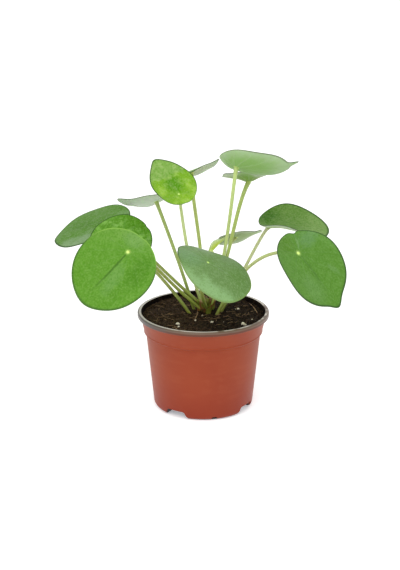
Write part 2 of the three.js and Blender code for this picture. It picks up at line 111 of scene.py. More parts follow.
class Wire:
    """A value in a material's nodes. Sums on it add Math nodes, and node() adds any other node."""

    def __init__(self, tree, socket=None):
        self.tree = tree
        self.socket = socket

    def node(self, kind, settings, sockets, output=0):
        """Adds a node. Its settings come first, then the values or wires of its sockets."""
        node = self.tree.nodes.new(kind)
        for name, value in settings.items():
            setattr(node, name, value)
        self.feed(node, sockets)
        return Wire(self.tree, node.outputs[output])

    def feed(self, node, sockets):
        """Gives a node's sockets their values or wires."""
        for name, value in sockets.items():
            if isinstance(value, Wire):
                self.tree.links.new(value.socket, node.inputs[name])
            else:
                node.inputs[name].default_value = value

    def math(self, operation, *values):
        """A Math node on up to three values."""
        return self.node("ShaderNodeMath", {"operation": operation}, dict(enumerate(values)))

    def __add__(self, other):
        return self.math("ADD", self, other)

    def __radd__(self, other):
        return self.math("ADD", other, self)

    def __sub__(self, other):
        return self.math("SUBTRACT", self, other)

    def __rsub__(self, other):
        return self.math("SUBTRACT", other, self)

    def __mul__(self, other):
        return self.math("MULTIPLY", self, other)

    def __rmul__(self, other):
        return self.math("MULTIPLY", other, self)

    def __truediv__(self, other):
        return self.math("DIVIDE", self, other)

    def __pow__(self, power):
        return self.math("POWER", self, power)

    def step(self, low, high):
        """0 below low, 1 above high, and smooth between them."""
        ends = {"Value": self, "From Min": low, "From Max": high}
        return self.node("ShaderNodeMapRange", {"interpolation_type": "SMOOTHSTEP"}, ends)

    def blend(self, below, above):
        """The colour below where this value is 0, and above where it is 1."""
        settings = {"data_type": "RGBA", "clamp_factor": True}
        return self.node("ShaderNodeMix", settings, {0: self, 6: below, 7: above}, 2)

    def speckle(self, scale, detail=2.0):
        """Cloudy noise from 0 to 1 in this space."""
        sockets = {"Vector": self, "Scale": scale, "Detail": detail}
        return self.node("ShaderNodeTexNoise", {}, sockets)

    def squeezed(self, x, y, z):
        """This space times a number along each axis. Patterns in it are drawn out where that is small."""
        return self.node("ShaderNodeMapping", {}, {"Vector": self, "Scale": (x, y, z)})

    def parts(self):
        """The X, Y and Z of a vector."""
        first = self.node("ShaderNodeSeparateXYZ", {}, {0: self})
        return [Wire(self.tree, socket) for socket in first.socket.node.outputs]


def new_material(name, constants):
    """A material, its shader, and its Object coordinates. Constants go on the shader's sockets."""
    material = bpy.data.materials.new(name)
    material.use_nodes = True
    start = Wire(material.node_tree)
    shader = material.node_tree.nodes["Principled BSDF"]
    start.feed(shader, constants)
    place = start.node("ShaderNodeTexCoord", {}, {}, "Object")
    return material, shader, place


def raise_bumps(shader, height, depth):
    """Lets height, from 0 to 1, stand out of the surface by depth metres."""
    normal = height.node("ShaderNodeBump", {}, {"Height": height, "Distance": depth})
    height.feed(shader, {"Normal": normal})


bpy.ops.mesh.primitive_plane_add(size=FLOOR_WIDTH)
floor = bpy.context.object
floor.name = "floor"
paper, shader, place = new_material("white_paper", {
    "Roughness": 0.9, "Specular IOR Level": 0.1, "Emission Strength": 1.0,
})
x, y, _ = place.parts()
under_pot = 1 - ((x * x + y * y) ** 0.5).step(*GLOW_FADE)
place.feed(shader, {
    "Base Color": place.speckle(PAPER_GRAIN).blend(PAPER_GREY, PAPER_WHITE),
    "Emission Color": under_pot.blend(PAPER_GLOW, PAPER_GLOW_UNDER),
})
floor.data.materials.append(paper)
floor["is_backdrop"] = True

# Pot. A thin plastic nursery pot moulded in one piece: terracotta outside, over a black inner layer, with
# a rolled grey rim. The rim's foot is painted dark brown as the shade under it, its inner top edge has
# painted glints, and its left and back side a cooler grey as painted sheen. Four drain arches are raised
# in its foot, with a small notch between each two, and both are painted black inside as the shade in
# them. MOUTH rounds the rim's inner edge, by steps out from its inner radius and up from its top.
_, pot_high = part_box("pot")
POT_HEIGHT = pot_high.z
RIM_RADIUS = pot_high.x
RIM_DEPTH = 0.004
RIM_ROUNDING = 0.0011
RIM_WIDTH = 0.0036
RIM_INNER_RADIUS = RIM_RADIUS - RIM_WIDTH
MOUTH = ((-0.0002, -0.0012), (0, -0.0005), (0.0006, 0.0003))
LIP_ROUNDING = 0.0006
LIP_FLARE = 0.0005
LIP_FLARE_HEIGHT = 0.0008
COLLAR_TOP_RADIUS = 0.057
COLLAR_FOOT_RADIUS = 0.054
STEP_TOP = 0.0713
STEP_FOOT = 0.070
STEP_EDGE = 0.0002
BEAD = 0.00035
BODY_TOP_RADIUS = 0.0524
BODY_FOOT_RADIUS = 0.0458
CORNER_HEIGHT = 0.005
FOOT_RADIUS = 0.0415
WALL = 0.0013
FLOOR_THICKNESS = 0.0016
POT_SIDES = 144
ARCH_TURNS = (-34, 60, 145, 244)
ARCH = {"width": 0.026, "top": 0.018, "height": 0.0072, "reach": 0.017, "rounding": 0.0016}
NOTCH = {"width": 0.0055, "top": 0.0045, "height": 0.0034, "reach": 0.004, "rounding": 0.0006}
TUNNEL_DROP = 0.001
DRAIN_RADIUS = 0.0036
DRAIN_SIDES = 32
POT_CREASE = 32
TERRACOTTA = dye(143, 56, 22)
TERRACOTTA_DEEP = dye(130, 40, 8)
TERRACOTTA_PALE = dye(156, 72, 40)
# The rim's colours: a dark brown painted as the shade under it, its own grey, a cooler grey painted as sheen,
# and a pale painted glint.
RIM_UNDER_SHADE = dye(92, 46, 26)
RIM_GREY = dye(104, 82, 66)
RIM_SHEEN_GREY = dye(84, 78, 74)
RIM_GLINT = dye(204, 195, 186)
BLACK_LAYER_AND_TUNNEL_SHADE = dye(16, 11, 8)
INNER_BROWN = dye(38, 25, 16)
RIM_COLOUR_START = (-0.0004, 0.0001)
RIM_GLINT_REACH = (0.0018, 0.0028)
RIM_SHEEN_SIDE = (0, 0.045)
FOOT_SHADE = (0.006, 0.052)
TUNNEL_SHADE_EDGE = (-0.003, -0.002)
INWARD = -0.2
PLASTIC_BUMP = 0.00006
LAYER_BUMP = 0.0004


def apply_modifier(piece, kind, **settings):
    """Adds one modifier to a piece and applies it."""
    modifier = piece.modifiers.new(kind, kind)
    for name, value in settings.items():
        setattr(modifier, name, value)
    bpy.context.view_layer.objects.active = piece
    bpy.ops.object.modifier_apply(modifier=modifier.name)


def settle(piece):
    """Moves a piece's place into its mesh, so that its object sits at the origin."""
    bpy.ops.object.select_all(action="DESELECT")
    piece.select_set(True)
    bpy.context.view_layer.objects.active = piece
    bpy.ops.object.transform_apply(location=True, rotation=True, scale=True)


def smooth(piece, crease):
    """Settles a piece and shades it smooth, apart from edges that turn by more than a crease in degrees."""
    settle(piece)
    bpy.ops.object.shade_smooth_by_angle(angle=math.radians(crease))


def raise_rings(profile, sides):
    """A closed round body: a disc that is extruded ring by ring through pairs of radius and height."""
    radius, height = profile[0]
    bpy.ops.mesh.primitive_circle_add(
        vertices=sides, radius=radius, fill_type="NGON", location=(0, 0, height),
    )
    bpy.ops.object.mode_set(mode="EDIT")
    for next_radius, next_height in profile[1:]:
        rise = (0, 0, next_height - height)
        share = next_radius / radius
        bpy.ops.mesh.extrude_region_move(TRANSFORM_OT_translate={"value": rise})
        bpy.ops.transform.resize(value=(share, share, 1), center_override=(0, 0, next_height))
        radius, height = next_radius, next_height
    bpy.ops.mesh.select_all(action="SELECT")
    bpy.ops.mesh.normals_make_consistent(inside=False)
    bpy.ops.object.mode_set(mode="OBJECT")
    settle(bpy.context.object)
    return bpy.context.object


def bend_profile(middle, radius, start, end, steps):
    """Points along an arc of a profile, between two angles in degrees."""
    turns = [math.radians(start + (end - start) * step / steps) for step in range(steps + 1)]
    return [(middle[0] + radius * math.cos(turn), middle[1] + radius * math.sin(turn)) for turn in turns]


def cut(piece, tool):
    """Takes a tool's shape out of a piece, and the tool away."""
    apply_modifier(piece, "BOOLEAN", operation="DIFFERENCE", object=tool, solver="EXACT")
    bpy.data.objects.remove(tool)


def tunnel_block(size, turn, margin):
    """The space under one arch or notch, with sloping sides and a rounded top, larger by a margin."""
    top = size["height"] + margin
    middle = -(BODY_FOOT_RADIUS - size["reach"] - margin) - size["reach"]
    bpy.ops.mesh.primitive_cube_add(size=1)
    block = bpy.context.object
    block.scale = (size["width"] + 2 * margin, 2 * size["reach"], top + TUNNEL_DROP)
    block.location = (0, middle, (top - TUNNEL_DROP) / 2)
    settle(block)
    for corner in block.data.vertices:
        if corner.co.z > 0:
            corner.co.x *= (size["top"] + 2 * margin) / (size["width"] + 2 * margin)
    bpy.ops.object.mode_set(mode="EDIT")
    bpy.ops.mesh.select_mode(type="EDGE")
    bpy.ops.mesh.select_all(action="DESELECT")
    bpy.ops.object.mode_set(mode="OBJECT")
    for edge in block.data.edges:
        ends = [block.data.vertices[index].co for index in edge.vertices]
        edge.select = all(end.z > 0 for end in ends) and abs(ends[0].y - ends[1].y) > size["reach"]
    bpy.ops.object.mode_set(mode="EDIT")
    bpy.ops.mesh.bevel(offset=size["rounding"], segments=4)
    bpy.ops.object.mode_set(mode="OBJECT")
    block.rotation_euler.z = math.radians(turn)
    settle(block)
    return block


def tunnel_blocks(margin):
    """Every tunnel under the pot: an arch at each of its turns, and a notch half way to the next arch."""
    for turn, after in zip(ARCH_TURNS, ARCH_TURNS[1:] + (ARCH_TURNS[0] + 360,)):
        yield tunnel_block(ARCH, turn, margin)
        yield tunnel_block(NOTCH, (turn + after) / 2, margin)


rim_turn = POT_HEIGHT - RIM_ROUNDING
lip_foot = POT_HEIGHT - RIM_DEPTH
outside = [
    (FOOT_RADIUS, 0),
    *bend_profile((BODY_FOOT_RADIUS - CORNER_HEIGHT, CORNER_HEIGHT), CORNER_HEIGHT, -70, 0, 7),
    (BODY_TOP_RADIUS, STEP_FOOT - STEP_EDGE),
    (BODY_TOP_RADIUS + STEP_EDGE, STEP_FOOT),
    (COLLAR_FOOT_RADIUS - STEP_EDGE, STEP_TOP - STEP_EDGE),
    (COLLAR_FOOT_RADIUS + BEAD, STEP_TOP + BEAD),
    (COLLAR_FOOT_RADIUS + BEAD, STEP_TOP + 3 * BEAD),
    (COLLAR_FOOT_RADIUS + BEAD / 2, STEP_TOP + 4 * BEAD),
    (COLLAR_TOP_RADIUS, lip_foot - LIP_FLARE_HEIGHT),
    (COLLAR_TOP_RADIUS + LIP_FLARE, lip_foot),
    *bend_profile((RIM_RADIUS - LIP_ROUNDING, lip_foot + LIP_ROUNDING), LIP_ROUNDING, -90, 0, 4),
    *bend_profile((RIM_RADIUS - RIM_ROUNDING, rim_turn), RIM_ROUNDING, 0, 90, 6),
]
pot = raise_rings(outside, POT_SIDES)

moulded, shader, place = new_material("moulded_plastic", {"Specular IOR Level": 0.28, "Coat Roughness": 0.18})
x, y, z = place.parts()
cloud = place.speckle(28, 3.0)
grain = place.speckle(700, 3.0)
scuff = place.speckle(110, 3.0)
out = (x * x + y * y) ** 0.5
clay = (cloud.step(0.3, 0.8) * 0.5).blend(TERRACOTTA, TERRACOTTA_DEEP)
streaks = place.squeezed(1, 1, 6).speckle(40, 2.0)
clay = ((scuff + streaks - 0.5).step(0.45, 0.75) * 0.2).blend(clay, TERRACOTTA_PALE)
clay = (1 - (z + cloud * 0.02).step(*FOOT_SHADE)).blend(clay, TERRACOTTA_DEEP)
# Inside the arches and notches, and on the pot's underside, the clay is painted black as the shade there.
clay = out.step(*[BODY_FOOT_RADIUS + reach for reach in TUNNEL_SHADE_EDGE]).blend(BLACK_LAYER_AND_TUNNEL_SHADE, clay)
up_rim = (z - lip_foot) / RIM_DEPTH
# The rim's left and back side is painted a cooler grey, with more glints, as painted sheen.
rim_sheen = (y * 0.6 - x + scuff * 0.03).step(*RIM_SHEEN_SIDE)
# The lip's lower half is painted dark brown as the shade under the rolled rim, above the rim's own grey.
rim = (up_rim + scuff * 0.2).step(0.5, 0.75).blend(RIM_UNDER_SHADE, RIM_GREY)
rim = (rim_sheen * 0.9).blend(rim, RIM_SHEEN_GREY)
# A broken line of painted glints along the rim's inner top edge.
light = 1 - out.step(*[RIM_INNER_RADIUS + reach for reach in RIM_GLINT_REACH])
light = light * up_rim.step(0.75, 0.95)
light = light * (place.speckle(75).step(0.36, 0.5) + rim_sheen).step(0, 1)
rim = (light * 0.9).blend(rim, RIM_GLINT)
# The rim's colours begin a little below the lip, so the painted shade under the rim reaches onto the collar.
on_rim = (z + cloud * 0.0006).step(*[lip_foot + up for up in RIM_COLOUR_START])
place.feed(shader, {
    "Base Color": on_rim.blend(clay, rim),
    "Roughness": 0.36 + grain * 0.08 + scuff * 0.08,
    "Coat Weight": on_rim * 0.3,
})
raise_bumps(shader, grain * 0.6 + cloud, PLASTIC_BUMP)
pot.data.materials.append(moulded)

layer, shader, place = new_material("inner_layer", {"Specular IOR Level": 0.05})
dust = place.speckle(260, 4.0)
place.feed(shader, {
    "Base Color": dust.step(0.45, 0.7).blend(BLACK_LAYER_AND_TUNNEL_SHADE, INNER_BROWN),
    "Roughness": 0.7 + dust * 0.3,
})
raise_bumps(shader, dust, LAYER_BUMP)

inside = raise_rings([
    (FOOT_RADIUS - WALL, FLOOR_THICKNESS),
    (BODY_FOOT_RADIUS - WALL, CORNER_HEIGHT),
    (BODY_TOP_RADIUS - WALL, STEP_FOOT),
    (COLLAR_FOOT_RADIUS - WALL, STEP_TOP),
    (COLLAR_TOP_RADIUS - WALL, lip_foot),
    *[(RIM_INNER_RADIUS + out, POT_HEIGHT + up) for out, up in MOUTH],
], POT_SIDES)
for block in tunnel_blocks(WALL):
    cut(inside, block)
cut(pot, inside)
for block in tunnel_blocks(0):
    cut(pot, block)
for turn in ARCH_TURNS:
    spin = Matrix.Rotation(math.radians(turn), 4, "Z")
    middle = Vector((0, -(BODY_FOOT_RADIUS - ARCH["reach"] / 2 - WALL), ARCH["height"]))
    bpy.ops.mesh.primitive_cylinder_add(
        vertices=DRAIN_SIDES, radius=DRAIN_RADIUS, depth=ARCH["height"], location=spin @ middle,
    )
    settle(bpy.context.object)
    cut(pot, bpy.context.object)
pot.data.materials.append(layer)
for face in pot.data.polygons:
    outward = face.center.x * face.normal.x + face.center.y * face.normal.y
    faces_in = outward < INWARD * math.hypot(face.center.x, face.center.y)
    if faces_in and face.center.z > ARCH["height"] + WALL:
        face.material_index = 1
smooth(pot, POT_CREASE)
pot.name = "pot_shell"

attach(pot, "root")
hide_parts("pot")

# Compost. Dark peaty potting mix that fills the pot almost to its rim, pressed in round the plant. Its
# surface is uneven, mounded a little round the stem, and palest where it has dried on the left.
STEM_PLACE = Vector((0.0025, 0.0068, 0))
SOIL_EDGE_HEIGHT = 0.086
SOIL_MOUND = 0.0005
SOIL_MOUND_RADIUS = 0.022
SOIL_WAVE_HEIGHT = 0.0004
SOIL_WAVES = {
    "across": 0.83, "along": 0.71, "shift": 1.1, "fine_across": 1.9, "fine_along": 1.3, "fine_share": 0.6,
}
SOIL_FLARE = 0.0026
SOIL_SIDES = 160
SOIL_RINGS = 46
SOIL_GAP = 0.0003
SOIL_CREASE = 50
LUMP_DEPTH = 0.0011
LUMPS = ((420, 0.5), (1100, 0.35), (190, -0.5))
RIDGE_SCALE = 640
RIDGE_SHARPNESS = 3
RIDGE_SHARE = 0.5
DRY_SIDE = (-0.015, 0.03)
PEAT_BUMP = 0.0009
PEAT = dye(46, 32, 20)
PEAT_PALE = dye(112, 88, 62)
PEAT_BLACK = dye(15, 9, 5)


def soil_height(x, y):
    """The height of the compost's surface, mounded a little round the stem."""
    mound = SOIL_MOUND * math.exp(-(math.hypot(x - STEM_PLACE.x, y - STEM_PLACE.y) / SOIL_MOUND_RADIUS) ** 2)
    across, along = x * 1000, y * 1000
    broad = math.sin(SOIL_WAVES["across"] * across + SOIL_WAVES["shift"])
    broad *= math.cos(SOIL_WAVES["along"] * along)
    fine = math.sin(SOIL_WAVES["fine_across"] * across - SOIL_WAVES["fine_along"] * along)
    return SOIL_EDGE_HEIGHT + mound + SOIL_WAVE_HEIGHT * (broad + fine * SOIL_WAVES["fine_share"])


soil_edge = COLLAR_FOOT_RADIUS - WALL - SOIL_GAP + SOIL_FLARE
rings = [(soil_edge * (1 - count / SOIL_RINGS), SOIL_EDGE_HEIGHT) for count in range(SOIL_RINGS)]
soil = raise_rings([
    (FOOT_RADIUS - WALL - SOIL_GAP, ARCH["height"] + WALL + SOIL_GAP),
    (BODY_FOOT_RADIUS - WALL - SOIL_GAP, ARCH["height"] + WALL + 2 * SOIL_GAP),
    (BODY_TOP_RADIUS - WALL - SOIL_GAP, STEP_FOOT + SOIL_GAP),
    (COLLAR_FOOT_RADIUS - WALL - SOIL_GAP, STEP_TOP + SOIL_GAP),
    *rings,
], SOIL_SIDES)
for corner in soil.data.vertices:
    if corner.co.z > (STEP_TOP + SOIL_EDGE_HEIGHT) / 2:
        x, y, _ = corner.co
        spot = Vector((x, y, 0))
        lumps = sum(noise.noise(spot * scale) * share for scale, share in LUMPS)
        ridges = max(0, 1 - abs(noise.noise(spot * RIDGE_SCALE)) * RIDGE_SHARPNESS)
        corner.co.z = soil_height(x, y) + LUMP_DEPTH * (lumps + RIDGE_SHARE * ridges)
soil.name = "compost"
smooth(soil, SOIL_CREASE)

peat, shader, place = new_material("peaty_compost", {"Specular IOR Level": 0.1})
coarse = place.speckle(380, 4.0)
fine = place.speckle(1500, 4.0)
bits = place.node("ShaderNodeTexVoronoi", {}, {"Vector": place, "Scale": 900}).step(0.05, 0.3)
x, _, _ = place.parts()
dry = 1 - (x + coarse * 0.02).step(*DRY_SIDE)
peat_colour = (coarse + dry * 0.12).step(0.42, 0.72).blend(PEAT_BLACK, PEAT)
peat_colour = ((fine + dry * 0.05).step(0.54, 0.74) * 0.8).blend(peat_colour, PEAT_PALE)
place.feed(shader, {"Base Color": peat_colour, "Roughness": 0.75 + fine * 0.25})
raise_bumps(shader, coarse + fine * 0.5 + bits * 0.4, PEAT_BUMP)
soil.data.materials.append(peat)
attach(soil, "root")
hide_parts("soil")

# Crumbs of compost. Small uneven lumps that lie loose on the surface, closest together along the
# pot's wall; each is one of four models, turned and sized anew.
CRUMB_MODEL_COUNT = 4
CRUMB_ROUGHNESS = 1.1
CRUMB_COUNT = 420
CRUMB_SIZES = (0.0006, 0.0021)
CRUMB_SHRINK = (0.6, 1)
CRUMB_SINK = 0.1
CRUMB_EDGE_GAP = 0.001
WALL_CRUMB_COUNT = 150
WALL_CRUMB_SIZES = (0.0008, 0.0017)
WALL_CRUMB_GAPS = (0.0012, 0.003)
STEM_CLEARING = 0.009
LUMP_FLATNESS = 0.75
LUMP_NOISE_SCALE = 1.3
LUMP_NOISE_STEP = 7.3
LUMP_CREASE = 60
LUMP_STRETCH = (0.75, 1.25)
LUMP_TILT = 0.5
LUMP_TURN = 6.28
chance = random.Random(11)


def copy_of(model):
    """A copy of a model with its own mesh."""
    piece = model.copy()
    piece.data = model.data.copy()
    bpy.context.collection.objects.link(piece)
    return piece


def join(name, parts, models=()):
    """Joins parts into one piece, with its place in its mesh, and takes the models away."""
    bpy.ops.object.select_all(action="DESELECT")
    for part in parts:
        part.select_set(True)
    bpy.context.view_layer.objects.active = parts[0]
    bpy.ops.object.transform_apply(location=True, rotation=True, scale=True)
    bpy.ops.object.join()
    for model in models:
        bpy.data.objects.remove(model)
    bpy.context.object.name = name
    return bpy.context.object


def lump(seed, roughness):
    """An uneven lump of unit size."""
    bpy.ops.mesh.primitive_ico_sphere_add(subdivisions=2, radius=1)
    shift = Vector((seed * LUMP_NOISE_STEP, 0, 0))
    for corner in bpy.context.object.data.vertices:
        corner.co *= 1 + roughness * noise.noise(corner.co * LUMP_NOISE_SCALE + shift)
        corner.co.z *= LUMP_FLATNESS
    return bpy.context.object


def on_soil(x, y, lift=0):
    """A point on the compost, or above it by a lift."""
    return Vector((x, y, soil_height(x, y) + lift))


def soil_spot(reach):
    """A random spot on the compost, clear of the stem."""
    while True:
        turn = chance.uniform(0, 2 * math.pi)
        far = reach * math.sqrt(chance.random())
        x, y = far * math.cos(turn), far * math.sin(turn)
        if math.hypot(x - STEM_PLACE.x, y - STEM_PLACE.y) > STEM_CLEARING:
            return on_soil(x, y)


def lay(model, spot, size, sink):
    """A copy of a model, sized, turned at random and sunk into the compost by a share of its size."""
    piece = copy_of(model)
    piece.scale = [size * chance.uniform(*LUMP_STRETCH) for _ in range(3)]
    tilt = [chance.uniform(-LUMP_TILT, LUMP_TILT) for _ in range(2)]
    piece.rotation_euler = [*tilt, chance.uniform(0, LUMP_TURN)]
    piece.location = spot - Vector((0, 0, size * sink))
    return piece


models = [lump(seed, CRUMB_ROUGHNESS) for seed in range(CRUMB_MODEL_COUNT)]
crumbs = []
for count in range(CRUMB_COUNT):
    size = chance.uniform(*CRUMB_SIZES) * chance.uniform(*CRUMB_SHRINK)
    spot = soil_spot(soil_edge - CRUMB_EDGE_GAP)
    crumbs.append(lay(models[count % CRUMB_MODEL_COUNT], spot, size, CRUMB_SINK))
for count in range(WALL_CRUMB_COUNT):
    turn = 2 * math.pi * count / WALL_CRUMB_COUNT
    reach = soil_edge - chance.uniform(*WALL_CRUMB_GAPS)
    spot = on_soil(reach * math.cos(turn), reach * math.sin(turn))
    crumbs.append(lay(models[count % CRUMB_MODEL_COUNT], spot, chance.uniform(*WALL_CRUMB_SIZES), 0))
crumbs = join("compost_crumbs", crumbs, models)
smooth(crumbs, LUMP_CREASE)
crumbs.data.materials.append(peat)
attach(crumbs, "root")

# Perlite. Light white grains of puffed volcanic glass that are mixed through the compost. The largest lie
# where the photograph shows them, each with its x, y and size here, and small ones lie between.
PERLITE = [
    (-0.0227, -0.0282, 0.0017),
    (-0.0220, -0.0353, 0.0009),
    (-0.0071, -0.0188, 0.0011),
    (-0.0010, -0.0050, 0.0008),
    (0.0080, -0.0222, 0.0012),
    (0.0322, 0.0133, 0.0012),
    (0.0362, -0.0282, 0.0022),
    (0.0244, -0.0172, 0.0006),
    (0.0439, -0.0154, 0.0007),
]
PERLITE_LIFT = 0.2
SMALL_PERLITE_COUNT = 7
SMALL_PERLITE_SIZES = (0.0003, 0.0006)
SMALL_PERLITE_LIFT = 0.6
PERLITE_EDGE_GAP = 0.003
PERLITE_ROUGHNESS = 0.6
PERLITE_BUMP = 0.0002
PERLITE_WHITE = dye(238, 230, 208)
PERLITE_GREY = dye(176, 156, 124)

model = lump(5, PERLITE_ROUGHNESS)
grains = [lay(model, on_soil(x, y, LUMP_DEPTH / 2), size, -PERLITE_LIFT) for x, y, size in PERLITE]
for _ in range(SMALL_PERLITE_COUNT):
    spot = soil_spot(soil_edge - PERLITE_EDGE_GAP)
    grains.append(lay(model, spot, chance.uniform(*SMALL_PERLITE_SIZES), -SMALL_PERLITE_LIFT))
perlite = join("perlite", grains, [model])
smooth(perlite, LUMP_CREASE)
puffed, shader, place = new_material("perlite", {"Roughness": 0.9})
pits = place.node("ShaderNodeTexVoronoi", {}, {"Vector": place, "Scale": 1800})
place.feed(shader, {"Base Color": place.speckle(900).step(0.45, 0.75).blend(PERLITE_WHITE, PERLITE_GREY)})
raise_bumps(shader, pits, PERLITE_BUMP)
perlite.data.materials.append(puffed)
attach(perlite, "root")

# Fibres and twigs. Dry roots and coir lie loose about the compost in thin tan curves, with a few longer
# twigs where the photograph shows them, each given here by its two ends and its radius.
FIBRE_COUNT = 130
FIBRE_RADIUS = 0.0002
FIBRE_TAPER = 0.6
FIBRE_LENGTHS = (0.003, 0.009)
FIBRE_WANDER = 0.6
FIBRE_LIFT = 0.0009
FIBRE_LIFT_SPREAD = 0.0006
FIBRE_EDGE_GAP = 0.008
TWIG_LIFT = 0.0014
TWIG_BOW = (0.0012, 0.001)
TWIG_SHARES = (0, 0.35, 0.65, 1)
TWIG_TAPER = 0.7
TWIG_ENDS = [
    ((0.0431, 0.0269), (0.0496, -0.0003), 0.00045),
    ((-0.0323, -0.0042), (-0.0221, -0.0022), 0.00032),
    ((-0.0403, 0.0286), (-0.0355, 0.0246), 0.00035),
    ((-0.0488, 0.0033), (-0.0428, -0.0131), 0.00028),
    ((0.0297, -0.0077), (0.0359, -0.0131), 0.00028),
    ((-0.0053, 0.0010), (-0.0071, -0.0170), 0.0005),
]
FIBRE_TAN = dye(150, 122, 88)
FIBRE_BROWN = dye(84, 60, 42)
FIBRE_BUMP = 0.00008
STRAND_STEPS = 5
MERGE_GAP = 1e-6


def strand(name, points, radii, roundness=3):
    """A round strand, made a mesh, along one smooth Bezier curve: its ends, with its handles between."""
    bpy.ops.curve.primitive_bezier_curve_add(location=(0, 0, 0))
    line = bpy.context.object
    first, last = line.data.splines[0].bezier_points
    for point in (first, last):
        point.handle_left_type = "FREE"
        point.handle_right_type = "FREE"
    first.co, first.handle_right = points[0], points[1]
    last.handle_left, last.co = points[2], points[3]
    first.handle_left, last.handle_right = points[0], points[3]
    bpy.ops.object.mode_set(mode="EDIT")
    bpy.ops.curve.select_all(action="SELECT")
    if len(radii) > 2:
        bpy.ops.curve.subdivide(number_cuts=len(radii) - 2)
    bpy.ops.object.mode_set(mode="OBJECT")
    for point, radius in zip(line.data.splines[0].bezier_points, radii):
        point.radius = radius / max(radii)
    line.data.bevel_depth = max(radii)
    line.data.bevel_resolution = roundness
    line.data.resolution_u = STRAND_STEPS
    line.data.use_fill_caps = True
    bpy.ops.object.convert(target="MESH")
    line = bpy.context.object
    line.name = name
    bpy.ops.object.mode_set(mode="EDIT")
    bpy.ops.mesh.select_all(action="SELECT")
    bpy.ops.mesh.remove_doubles(threshold=MERGE_GAP)
    bpy.ops.mesh.normals_make_consistent(inside=False)
    bpy.ops.object.mode_set(mode="OBJECT")
    return line


fibres = []
for _ in range(FIBRE_COUNT):
    start = soil_spot(soil_edge - FIBRE_EDGE_GAP)
    turn = chance.uniform(0, 2 * math.pi)
    length = chance.uniform(*FIBRE_LENGTHS)
    points = []
    for step in range(4):
        turn += chance.uniform(-FIBRE_WANDER, FIBRE_WANDER)
        far = length * step / 3
        x, y = start.x + far * math.cos(turn), start.y + far * math.sin(turn)
        points.append(on_soil(x, y, FIBRE_LIFT + chance.uniform(0, FIBRE_LIFT_SPREAD)))
    fibres.append(strand("fibre", points, (FIBRE_RADIUS, FIBRE_RADIUS * FIBRE_TAPER), 1))
for (x0, y0), (x1, y1), radius in TWIG_ENDS:
    points = [on_soil(x0 + (x1 - x0) * share, y0 + (y1 - y0) * share, TWIG_LIFT) for share in TWIG_SHARES]
    points[1].x += TWIG_BOW[0]
    points[2].y += TWIG_BOW[1]
    fibres.append(strand("twig", points, (radius, radius * TWIG_TAPER), 2))
fibres = join("fibres", fibres)
dry, shader, place = new_material("dry_fibre", {"Roughness": 0.8, "Specular IOR Level": 0.3})
place.feed(shader, {"Base Color": place.speckle(60).step(0.42, 0.6).blend(FIBRE_BROWN, FIBRE_TAN)})
raise_bumps(shader, place.speckle(2500), FIBRE_BUMP)
fibres.data.materials.append(dry)
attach(fibres, "root")

# Stem. The short upright trunk of the plant, brown and ringed with old scars, with a rounded green tip.
# It grows up out of the compost, and the stalks leave it on all sides.
STEM_RADIUS = 0.004
STEM_TOP = 0.100
STEM_FOOT = 0.078
STEM_SIDES = 40
STEM_RINGS = 10
SCAR_DEPTH = 0.10
STEM_LUMPINESS = 0.12
STEM_LUMP_SCALE = 450
STEM_RIPE = (0.088, 0.098)
STEM_BUMP = 0.0004
STEM_BROWN = dye(84, 66, 30)
STEM_GREEN = dye(104, 106, 34)

neck = STEM_TOP - STEM_RADIUS
rise = (neck - STEM_FOOT) / STEM_RINGS
profile = []
for count in range(STEM_RINGS + 1):
    profile.append((STEM_RADIUS * (1 - SCAR_DEPTH * (count % 2)), STEM_FOOT + rise * count))
profile += bend_profile((0, neck), STEM_RADIUS * 0.95, 15, 80, 5)
stem = raise_rings(profile, STEM_SIDES)
for corner in stem.data.vertices:
    outward = Vector((corner.co.x, corner.co.y, 0))
    corner.co += outward * STEM_LUMPINESS * noise.noise(corner.co * STEM_LUMP_SCALE)
stem.location = STEM_PLACE
settle(stem)
apply_modifier(stem, "SUBSURF", levels=1, render_levels=1)
bpy.ops.object.shade_smooth()
stem.name = "trunk"
bark, shader, place = new_material("young_stem", {"Specular IOR Level": 0.4})
_, _, z = place.parts()
scars = place.squeezed(1, 1, 4).speckle(220, 3.0)
ripe = (z + scars * 0.006).step(*STEM_RIPE)
place.feed(shader, {"Base Color": ripe.blend(STEM_BROWN, STEM_GREEN), "Roughness": 0.5 + scars * 0.3})
raise_bumps(shader, scars, STEM_BUMP)
stem.data.materials.append(bark)
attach(stem, "root")
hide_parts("stem")

# Scales. Dry pointed bracts, olive and brown-red, that grow round the stem in a broad crown and wrap the
# feet of the stalks, with one pale straw that stands among them.
SCALE_COUNT = 30
SCALE_LENGTH = 0.0095
SCALE_WIDTH = 0.0046
SCALE_TIP_WIDTH = 0.0002
SCALE_TAPER = 2.2
SCALE_FULLNESS = 0.8
SCALE_THICKNESS = 0.00035
SCALE_GAP = 0.0004
SCALE_FLARE = 0.0012
SCALE_CURL = 0.0011
SCALE_FOOT = 0.0855
SCALE_RISE = 0.0012
SCALE_SIZES = (0.75, 1.2)
SCALE_SPREAD = 0.8
SCALE_CREASE = 50
SCALE_BUMP = 0.0002
GOLDEN_ANGLE = math.radians(137.5)
SCALE_OLIVE = dye(104, 112, 34)
SCALE_RED = dye(112, 72, 34)
SCALE_STRAW = dye(176, 148, 108)
STRAW_TOP = Vector((-0.0076, 0.010, 0.1071))
STRAW_FOOT = Vector((-0.0030, 0.008, 0.0965))
STRAW_RADIUS = 0.0007
STRAW_TAPER = 0.6
STRAW_SHARES = (0.4, 0.7)
STRAW_BOW = 0.0006

